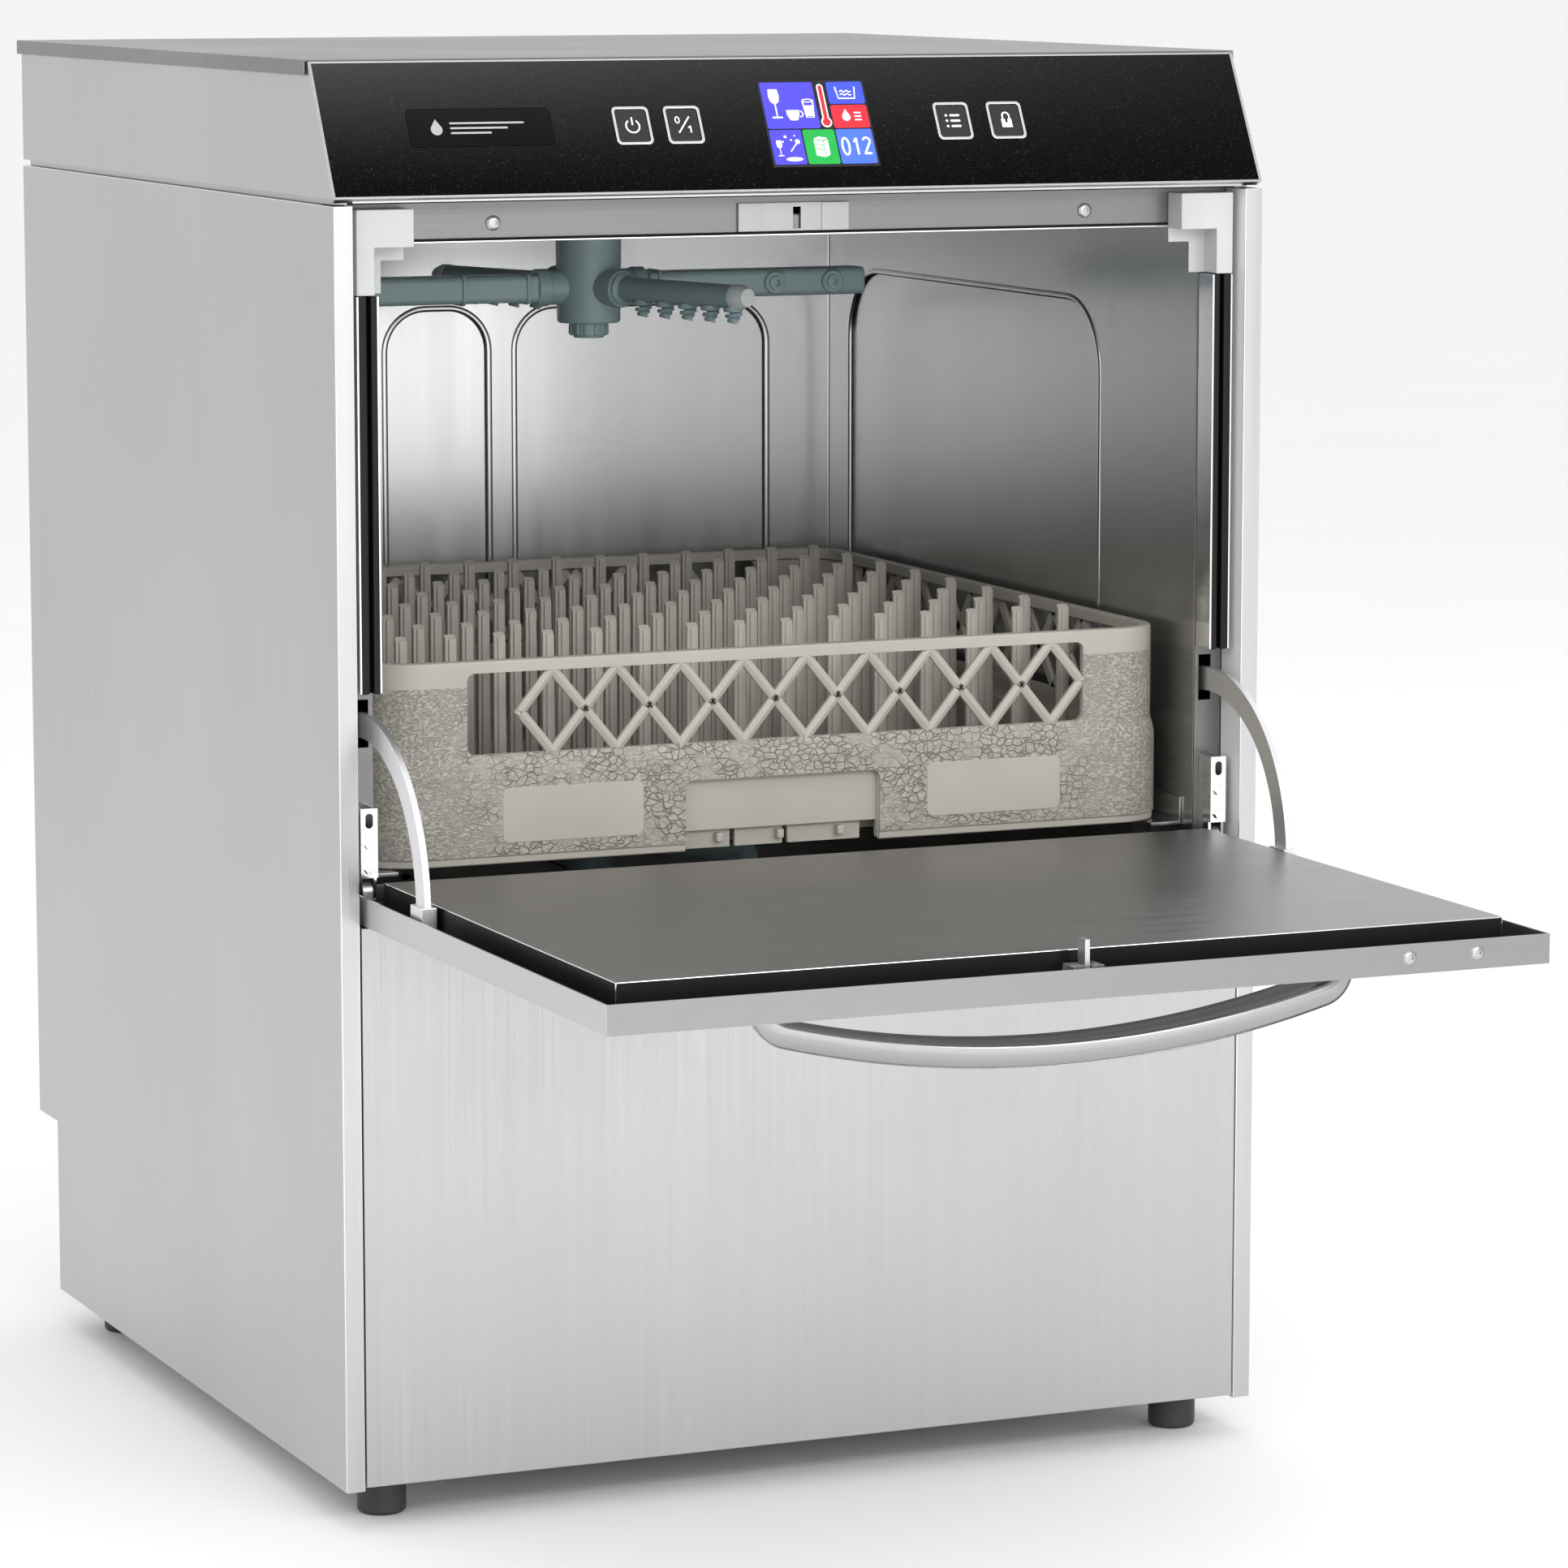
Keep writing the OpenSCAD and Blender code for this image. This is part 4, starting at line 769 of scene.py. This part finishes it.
def strut(bm, m, a, b):
    """Lattice member with a ridge along its outer face."""
    start, end = Vector((*a, 0)), Vector((*b, 0))
    along = (end - start).normalized()
    start, end = start - along * 2.4 * MM, end + along * 2.4 * MM
    across = Vector((-along.y, along.x, 0))
    out = Vector((0, 0, 1))
    section = mm((-2.9, -1.9), (2.9, -1.9), (2.9, 0.7), (0.4, 2.15), (-0.4, 2.15), (-2.9, 0.7))
    origin = start if across.cross(out).dot(along) > 0 else end
    prism(bm, section, (end - start).length, m @ shift(origin) @ axes(across, out, across.cross(out)))


def rack_details():
    pitch, low, high, first = 39.2 * MM, 62.0 * MM, 109.5 * MM, -160.5 * MM
    mid = (low + high) / 2
    bm = bmesh.new()
    for quarter in range(4):
        m = rack_side(quarter) @ shift((0, 0, -WALL_MID))
        for i in range(9):
            x = first + i * pitch
            for end in (low, high):
                strut(bm, m, (x, mid), (x + pitch / 2, end))
                strut(bm, m, (x + pitch, mid), (x + pitch / 2, end))
    lattice = rounded(linked("rack_lattice", bm), 0.35 * MM)
    place(lattice, "dish_rack", ["rack"])
    bm = bmesh.new()
    for quarter in range(4):
        m = rack_side(quarter)
        for x in (-130, 134) if quarter % 2 == 0 else ():
            pad = round_rect(86 * MM, 31.5 * MM, 4 * MM, 5, x * MM, 27.5 * MM)
            prism(bm, pad, 1.2 * MM, m @ shift((0, 0, -0.9 * MM)))
        panel = round_rect(126 * MM, 37 * MM, 2 * MM, 3, 0, 29.5 * MM)
        prism(bm, panel, 3 * MM, m @ shift((0, 0, -8.2 * MM)))
        for x, w in ((-46, 32), (-12, 30), (29, 46)):
            prism(bm, round_rect(w * MM, 13 * MM, 0.6 * MM, 2, x * MM, 6.6 * MM), 3 * MM,
                  m @ shift((0, 0, -12 * MM)))
        for x in (-62, 62):
            block_m = m @ shift((x * MM, 0, -8 * MM))
            prism(bm, round_rect(3 * MM, 44 * MM, 0.8 * MM, 2, 0, 22.5 * MM), 5 * MM, block_m)
    place(rounded(linked("rack_pads", bm), 0.4 * MM), "dish_rack", ["rack"])
    bm = bmesh.new()
    span, cells, bar = 456 * MM, 12, 2 * MM
    for i in range(cells + 1):
        at = -span / 2 + i * span / cells
        reach = 247 * MM if 0 < i < cells else 240 * MM
        low, high = RACK_Z + 4 * MM, RACK_Z + 9 * MM
        block(bm, at - bar, at + bar, RACK_Y - reach, RACK_Y + reach, low, high)
        block(bm, -reach, reach, RACK_Y + at - bar, RACK_Y + at + bar, low + 0.3 * MM, high + 0.3 * MM)
    for j in range(-4, 4):
        y = RACK_Y + (j + 0.5) * 53 * MM
        block(bm, -225 * MM, 225 * MM, y - 2 * MM, y + 2 * MM, RACK_Z + 4.2 * MM, RACK_Z + 22 * MM)
        for i in range(-7, 8):
            peg(bm, i * 30 * MM, y, RACK_Z + 9 * MM, RACK_HI.z)
    place(rounded(linked("rack_pegs", bm), 0.45 * MM), "dish_rack", ["rack"])


def peg(bm, x, y, z0, z1):
    """Tapered finger with a cross-shaped section and a sloping tip."""
    web, drop = 1.5 * MM, 2.5 * MM
    rings = []
    for z, a, b in ((z0, 4.0 * MM, 3.0 * MM), (z1, 3.5 * MM, 2.6 * MM)):
        outline = [(web, b), (-web, b), (-web, web), (-a, web), (-a, -web), (-web, -web),
                   (-web, -b), (web, -b), (web, -web), (a, -web), (a, web), (web, web)]
        rings.append([bm.verts.new((x + u, y + v, z - (drop if z == z1 and v < 0 else 0)))
                      for u, v in outline])
    bm.faces.new(list(reversed(rings[0])))
    bm.faces.new(rings[1])
    skin(bm, rings)


# ---------- spray arms ----------

ARM_AT = sum(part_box("upper_wash_blades"), Vector()) / 2
TUBES = (math.radians(-72), math.radians(-72) + math.pi)


def spiral_nozzle(bm, m):
    """Pig-tail nozzle: a base ring and a wire wound down to a point."""
    lathe(bm, mm((0, -0.5), (5.6, -0.5), (6, 1.6), (5.4, 2.6), (2.2, 3.2), (1.2, 9.4), (0, 9.8)), m, 20)
    turns, steps, wire_r = 2.3, 30, 1.25 * MM
    rings = []
    for k in range(steps + 1):
        share = k / steps
        angle = share * turns * 2 * math.pi
        radius = (4.8 - 2.7 * share) * MM
        side = Vector((math.cos(angle), math.sin(angle), 0))
        centre = side * radius + Vector((0, 0, (3.0 + 6.2 * share) * MM))
        rings.append([bm.verts.new(m @ (centre + side * u + Vector((0, 0, v))))
                      for u, v in ellipse(0, 0, wire_r, wire_r, 6)])
    skin(bm, rings)
    bm.faces.new(rings[0])
    bm.faces.new(list(reversed(rings[-1])))


def arm_frame(angle):
    """Local Z along the blade or tube, local X upwards."""
    out = Vector((math.cos(angle), math.sin(angle), 0))
    up = Vector((0, 0, 1))
    return shift(ARM_AT) @ axes(up, out.cross(up), out)


def upper_arm():
    bm = bmesh.new()
    hub = mm((11.3, -22), (18.4, -22), (19.3, -21.2), (19.6, -20), (20.3, 30), (20.3, 34.8), (19.4, 36),
             (11.3, 36))
    lathe(bm, hub, shift(ARM_AT), 56, closed=True)
    sockets = [(0, 36.0), (math.pi, 36.0)] + [(angle, 33.0) for angle in TUBES]
    for angle, length in sockets:
        lathe(bm, mm((0, 14), (10.6, 14), (10.6, length - 9), (11.5, length - 8), (11.5, length - 0.6),
                     (11.0, length), (0, length)), arm_frame(angle), 32)
    piece = sharp(linked("arm_hub", bm), 30)
    place(piece, "upper_arm_hub", ["arm"])
    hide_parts("upper_arm_hub")

    bm = bmesh.new()
    for angle in TUBES:
        body = mm((0, 33), (9.9, 33), (9.9, 35), (8.2, 36.2), (7.5, 37), (7.2, 138), (0, 138))
        cap = mm((0, 137), (7.0, 137.4), (7.6, 138.2), (7.5, 143.5), (5.4, 149.6), (0, 150))
        for index, profile in enumerate((body, cap)):
            lathe(bm, profile, arm_frame(angle), 36, index)
    piece = sharp(linked("arm_tubes", bm), 30)
    place(piece, "upper_rinse_tubes", ["arm", "arm_light"])
    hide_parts("upper_rinse_tubes")

    bm = bmesh.new()
    for angle in TUBES:
        for i in range(5):
            at = ARM_AT + Vector((math.cos(angle), math.sin(angle), 0)) * (52 + 21 * i) * MM
            at.z -= 6.4 * MM
            spiral_nozzle(bm, turned((0, 0, -1), at))
    jet = mm((0, 0), (7.2, 0), (7.2, 1.6), (6.4, 2.4), (4.6, 2.4), (4.2, 3.6), (2.0, 3.9),
             (1.6, 2.6), (0, 2.6))
    for side in (0, math.pi):
        for x in (120, 159):
            out = Vector((math.cos(side), math.sin(side), 0))
            facing = Vector((out.y, -out.x, 0))
            lathe(bm, jet, turned(facing, ARM_AT + out * x * MM + facing * 10.8 * MM), 28)
    piece = sharp(linked("arm_nozzles", bm), 30)
    place(piece, "upper_nozzles", ["arm"])
    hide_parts("upper_nozzles")

    softened("upper_wash_blades", 1.6 * MM, ["arm"], 3)
    bm = bmesh.new()
    collar = round_rect(19.4 * MM, 24.2 * MM, 5 * MM, 4)
    for turn, x in ((0, 42), (math.pi, 42), (math.pi, 84)):
        m = shift(ARM_AT) @ Matrix.Rotation(turn, 4, "Z")
        m = m @ shift((x * MM, 0, 0)) @ Matrix.Rotation(math.pi / 2, 4, "Y")
        prism(bm, collar, 2.6 * MM, m)
    place(rounded(linked("arm_collars", bm), 0.6 * MM), "upper_wash_blades", ["arm"])


# ---------- door ----------

def bow_path(half, rise, end_r, steps=64):
    """Points and outward normals of a bow with a flat middle arc and tight end arcs."""
    mid_r = (half ** 2 + rise ** 2 - 2 * half * end_r) / (2 * (rise - end_r))
    mid_h = mid_r - rise
    end_x = half - end_r
    meet = math.atan2(mid_h, end_x)
    path = []
    for k in range(13):
        t = meet * k / 12
        normal = (-math.cos(t), -math.sin(t))
        path.append((-end_x + end_r * normal[0], end_r * normal[1], normal))
    for k in range(1, steps):
        t = meet + (math.pi - 2 * meet) * k / steps
        normal = (-math.cos(t), -math.sin(t))
        path.append((mid_r * normal[0], mid_h + mid_r * normal[1], normal))
    return path + [(-x, z, (-n[0], n[1])) for x, z, n in reversed(path[:13])]


def handle():
    """Bent bow with a slanted bright front, a hollow inner face and tapered ends."""
    lo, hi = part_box("door_handle")
    half, rise, end_r = (hi.x - lo.x) / 2, hi.z - lo.z, 22 * MM
    section = [(3.0, 0.0), (3.6, -0.6), (1.2, -4.0), (0.2, -8.0), (0.0, -11.2), (0.8, -12.4),
               (2.4, -12.2), (8.0, -11.0), (16.0, -11.4), (25.0, -13.6), (26.0, -13.2), (26.0, -10.0),
               (21.0, -4.0), (12.0, -0.8)]
    bm = bmesh.new()
    rows = []
    for x, z, normal in bow_path(half, rise, end_r):
        slim = 0.72 + 0.28 * math.sin(min(1.0, -z / (0.8 * rise)) * math.pi / 2)
        row = []
        for u, v in section:
            y = lo.y + (13 + (u - 13) * slim) * MM
            out = v * MM * (0.8 + 0.2 * slim)
            row.append(bm.verts.new((x + normal[0] * out, y, hi.z + z + normal[1] * out)))
        rows.append(row)
    skin(bm, rows)
    bm.faces.new(rows[0])
    bm.faces.new(list(reversed(rows[-1])))
    bow = sharp(linked("handle_bow", bm), 40)
    place(bow, "door_handle", ["handle"])
    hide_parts("door_handle")


def screw(bm, m, r=4.0, h=1.3):
    """Low button head with a round socket."""
    socket = 1.7
    lathe(bm, mm((r, -0.4), (r, 0.15), (r * 0.86, h * 0.62), (r * 0.55, h), (socket, h),
                 (socket, 0.3 * h)), m, 24)


def solid_spans(node):
    """Bounds of every separate solid of a node."""
    bm = bmesh.new()
    bm.from_mesh(NODES[node].data)
    bmesh.ops.remove_doubles(bm, verts=bm.verts, dist=2e-6)
    left, spans = set(bm.verts), []
    while left:
        queue = [left.pop()]
        found = list(queue)
        while queue:
            for edge in queue.pop().link_edges:
                for vert in edge.verts:
                    if vert in left:
                        left.remove(vert)
                        queue.append(vert)
                        found.append(vert)
        spans.append(tuple(Vector([f(v.co[i] for v in found) for i in range(3)]) for f in (min, max)))
    bm.free()
    return sorted(spans, key=lambda span: tuple(span[0]))


def edge_screws():
    """Button heads in the door's front edge and the frame's cross-member."""
    for node, r in (("door_edge_screws", 4.0), ("frame_screws", 4.2)):
        bm = bmesh.new()
        for lo, hi in solid_spans(node):
            head = Vector(((lo.x + hi.x) / 2, lo.y + 1.3 * MM, (lo.z + hi.z) / 2))
            if node == "frame_screws":
                head.y += 1.1 * MM
            screw(bm, turned((0, -1, 0), head), r)
            lathe(bm, mm((0, -4), (1.6, -4), (1.6, 0), (0, 0)), turned((0, -1, 0), head), 16)
        piece = sharp(linked(node + "_heads", bm), 28)
        place(piece, node, ["screw"])
        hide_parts(node)


# ---------- cabinet details ----------

def rear_screws():
    """Screws round the edge of the back panel."""
    lo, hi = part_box("back_panel")
    bm = bmesh.new()
    inset = 9 * MM
    for x in (lo.x + inset, hi.x - inset):
        for share in (0.04, 0.35, 0.66, 0.97):
            z = lo.z + 120 * MM + (hi.z - lo.z - 132 * MM) * share
            screw(bm, turned((0, 1, 0), (x, hi.y, z)), 4.4, 1.6)
    for x in (-150, -50, 50, 150):
        screw(bm, turned((0, 1, 0), (x * MM, hi.y, hi.z - 14 * MM)), 4.4, 1.6)
    place(sharp(linked("rear_screws", bm), 28), "back_panel", ["bright"])


def jamb_strips():
    """Chrome strips that hold the jamb seals."""
    bm = bmesh.new()
    for lo, hi in solid_spans("opening_seals"):
        if hi.z - lo.z < 0.1:
            block(bm, lo.x, hi.x, lo.y + 0.4 * MM, hi.y, lo.z - 1.0 * MM, lo.z)
            continue
        side = 1 if lo.x > 0 else -1
        inner = lo.x if side > 0 else hi.x
        outer = hi.x if side > 0 else lo.x
        for at, width in ((inner - side * 0.85 * MM, 1.3), (outer - side * 0.45 * MM, 1.25)):
            x0, x1 = sorted((at, at + side * width * MM))
            block(bm, x0, x1, lo.y + 0.1 * MM, hi.y - 0.1 * MM, lo.z + 0.2 * MM, hi.z - 0.2 * MM)
    place(rounded(linked("jamb_strips", bm), 0.25 * MM), "opening_seals", ["bright"])


def bead(bm, outline, m):
    """Half-round bead along a closed outline in the local X-Y plane, rising along local Z."""
    r, height, sunk = 2.0, 0.9, -0.3
    half = [(0.3 * r, 0.95 * height), (0.72 * r, 0.62 * height), (r, 0.0), (r, sunk)]
    section = [(-u, v) for u, v in reversed(half)] + half
    rows = []
    for i, (x, y) in enumerate(outline):
        before, after = outline[i - 1], outline[(i + 1) % len(outline)]
        along = Vector((after[0] - before[0], after[1] - before[1])).normalized()
        rows.append([bm.verts.new(m @ Vector((x - along.y * u * MM, y + along.x * u * MM, v * MM)))
                     for u, v in section])
    skin(bm, rows, True)


def chamber_beads():
    """Pressed beads round the panels of the chamber's side and rear walls."""
    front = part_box("side_panel_left")[0].y
    bm = bmesh.new()
    half, height = 256.5 * MM, 268 * MM

    def panel(facing, where, width, r):
        m = turned(facing, where)
        flat = m.inverted().to_3x3() @ Vector((0, 0, 1))
        size = (width, height) if abs(flat.y) > 0.5 else (height, width)
        bead(bm, round_rect(*size, r, 10), m)

    for side in (1, -1):
        panel((-side, 0, 0), (side * half, front + 340.5 * MM, 534 * MM), 373 * MM, 45 * MM)
    for x, w in ((-142, 135), (-21, 72), (122, 179)):
        panel((0, -1, 0), (x * MM, front + 560 * MM, 512 * MM), w * MM, 28 * MM)
    place(sharp(linked("chamber_beads", bm), 60), "wash_chamber", ["chamber"])


# how far each node's edges are rounded, in millimetres
EDGE = {
    "side_panel_left": 0.5, "side_panel_right": 0.5, "lower_front_panel": 0.5, "back_panel": 0.4,
    "front_frame": 0.3, "control_housing": 0.3, "top_lid": 0.55, "latch_plate": 0.3,
    "corner_guides": 0.6, "hinge_brackets": 0.3, "base_tray": 0.4, "wash_chamber": 0.7,
    "rack_rails": 0.3, "door_tray": 0.5, "door_liner": 0.55, "fascia_panel": 0.25,
    "badge_blank": 0.35, "touch_display": 0.3, "button_frames": 0.35, "opening_seals": 0.8,
    "door_striker": 0.3, "striker_cover": 0.4, "door_magnet": 0.3, "lower_feed_post": 0.6,
    "upper_arm_nut": 0.5, "feed_pipe": 0.3, "cable_gland": 0.5, "drain_outlet": 0.5,
    "water_inlet": 0.5, "hinge_nuts": 0.3, "stay_arms": 0.5, "hinge_knuckles": 0.3,
    "feet": 0.4, "door_gasket": 0.4,
}
# nodes that look different from the rest of their slot
LOOK = {"latch_plate": "latch", "door_tray": "tray", "stay_arms": "satin", "door_liner": "liner",
        "front_frame": "frame", "top_lid": "lid", "badge_blank": "badge",
        "lower_front_panel": "panel"}


# ---------- studio ----------

def stage():
    """Wide pale floor that runs out to the horizon."""
    bm = bmesh.new()
    reach, sides = 60.0, 64
    bm.faces.new(loop_at(bm, ellipse(0, 0, reach, reach, sides), 0, Matrix.Identity(4)))
    floor = linked("studio_floor", bm)
    g = Graph("floor_pale", Roughness=0.75)
    g.set("Base Color", g.blend(g.noise(2.0), (0.92, 0.92, 0.92), (0.95, 0.95, 0.95)))
    floor.data.materials.append(g.mat)


def area_light(name, where, aim, size, power):
    data = bpy.data.lights.new(name, "AREA")
    data.shape = "RECTANGLE"
    data.size, data.size_y = size
    data.energy = power
    obj = bpy.data.objects.new(name, data)
    obj.location = where
    obj.rotation_euler = (Vector(aim) - Vector(where)).to_track_quat("-Z", "Y").to_euler()
    bpy.context.scene.collection.objects.link(obj)


def lighting():
    world = bpy.data.worlds.new("studio_world")
    world.use_nodes = True
    background = world.node_tree.nodes["Background"]
    background.inputs["Color"].default_value = (0.98, 0.985, 1.0, 1)
    background.inputs["Strength"].default_value = 0.98
    bpy.context.scene.world = world
    middle = (0, 0, 0.4)
    area_light("key_left", (-3.2, -2.2, 2.6), middle, (2.0, 2.6), 24.5)
    area_light("fill_front", (0.1, -3.6, 1.3), middle, (3.6, 2.6), 36)
    area_light("floor_front", (0.3, -2.0, 1.3), (0.3, -2.0, 0), (1.3, 1.0), 20)
    area_light("rim_right", (3.2, 0.6, 2.2), middle, (1.6, 2.4), 16)
    area_light("top_soft", (0, 0, 3.6), middle, (3.0, 3.0), 16)


def camera():
    """Long-lens view from the left and a little above, level across."""
    where, lens, sensor = (-1.3745, -3.2572, 0.9006), 139.4, 36.0
    yaw, pitch = math.radians(23.37), math.radians(-8.18)
    data = bpy.data.cameras.new("view")
    data.lens, data.sensor_width = lens, sensor
    ahead = Vector((math.sin(yaw) * math.cos(pitch), math.cos(yaw) * math.cos(pitch), math.sin(pitch)))
    obj = bpy.data.objects.new("view", data)
    obj.location = where
    obj.rotation_euler = ahead.to_track_quat("-Z", "Y").to_euler()
    bpy.context.scene.collection.objects.link(obj)
    bpy.context.scene.camera = obj


camera()
stage()
lighting()
bpy.context.scene.view_settings.view_transform = "Standard"
rack_shell()
rack_details()
upper_arm()
handle()
key_icons()
display_picture()
fascia_trim()
edge_screws()
rear_screws()
jamb_strips()
chamber_beads()
REBUILT = {"dish_rack", "upper_arm_hub", "upper_rinse_tubes", "upper_nozzles", "upper_wash_blades",
           "door_handle", "button_power", "button_start", "button_program", "button_lock",
           "door_edge_screws", "frame_screws"}
SHELLS = {}
JAMB_DEPTH = 26 * MM
JAMB_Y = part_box("side_panel_left")[0].y + JAMB_DEPTH
for node in NODES:
    look = LOOK.get(node, SLOT_LOOK[SLOT_OF[node]])
    if node in EDGE:
        SHELLS[node] = softened(node, EDGE[node] * MM, [look])
    elif node not in REBUILT:
        dress(NODES[node], look)

for node, look, chosen in (
        # painted light: the side panels' return faces at the opening get the pale jamb copy of their steel
        ("side_panel_left", "jamb", lambda n, c: n.x > 0.9 and c.y < JAMB_Y),
        ("side_panel_right", "jamb", lambda n, c: n.x < -0.9 and c.y < JAMB_Y),
        ("door_liner", "seal", lambda n, c: max(abs(n.x), abs(n.y)) > 0.9),
        # painted light: the door tray's faces are toned by the way they face
        ("door_tray", "tray_side", lambda n, c: abs(n.x) > 0.9),
        ("door_tray", "door_face", lambda n, c: n.z < -0.9)):
    second_look(SHELLS[node], look, chosen)
# painted highlight: the rounded folded edges get the bright polished steel, as if they catch the light
for node in ("side_panel_left", "side_panel_right", "door_liner", "door_tray"):
    shell = SHELLS[node]
    shell.data.materials.append(MATS["bright"])
    shell.modifiers["edges"].material = len(shell.data.materials) - 1
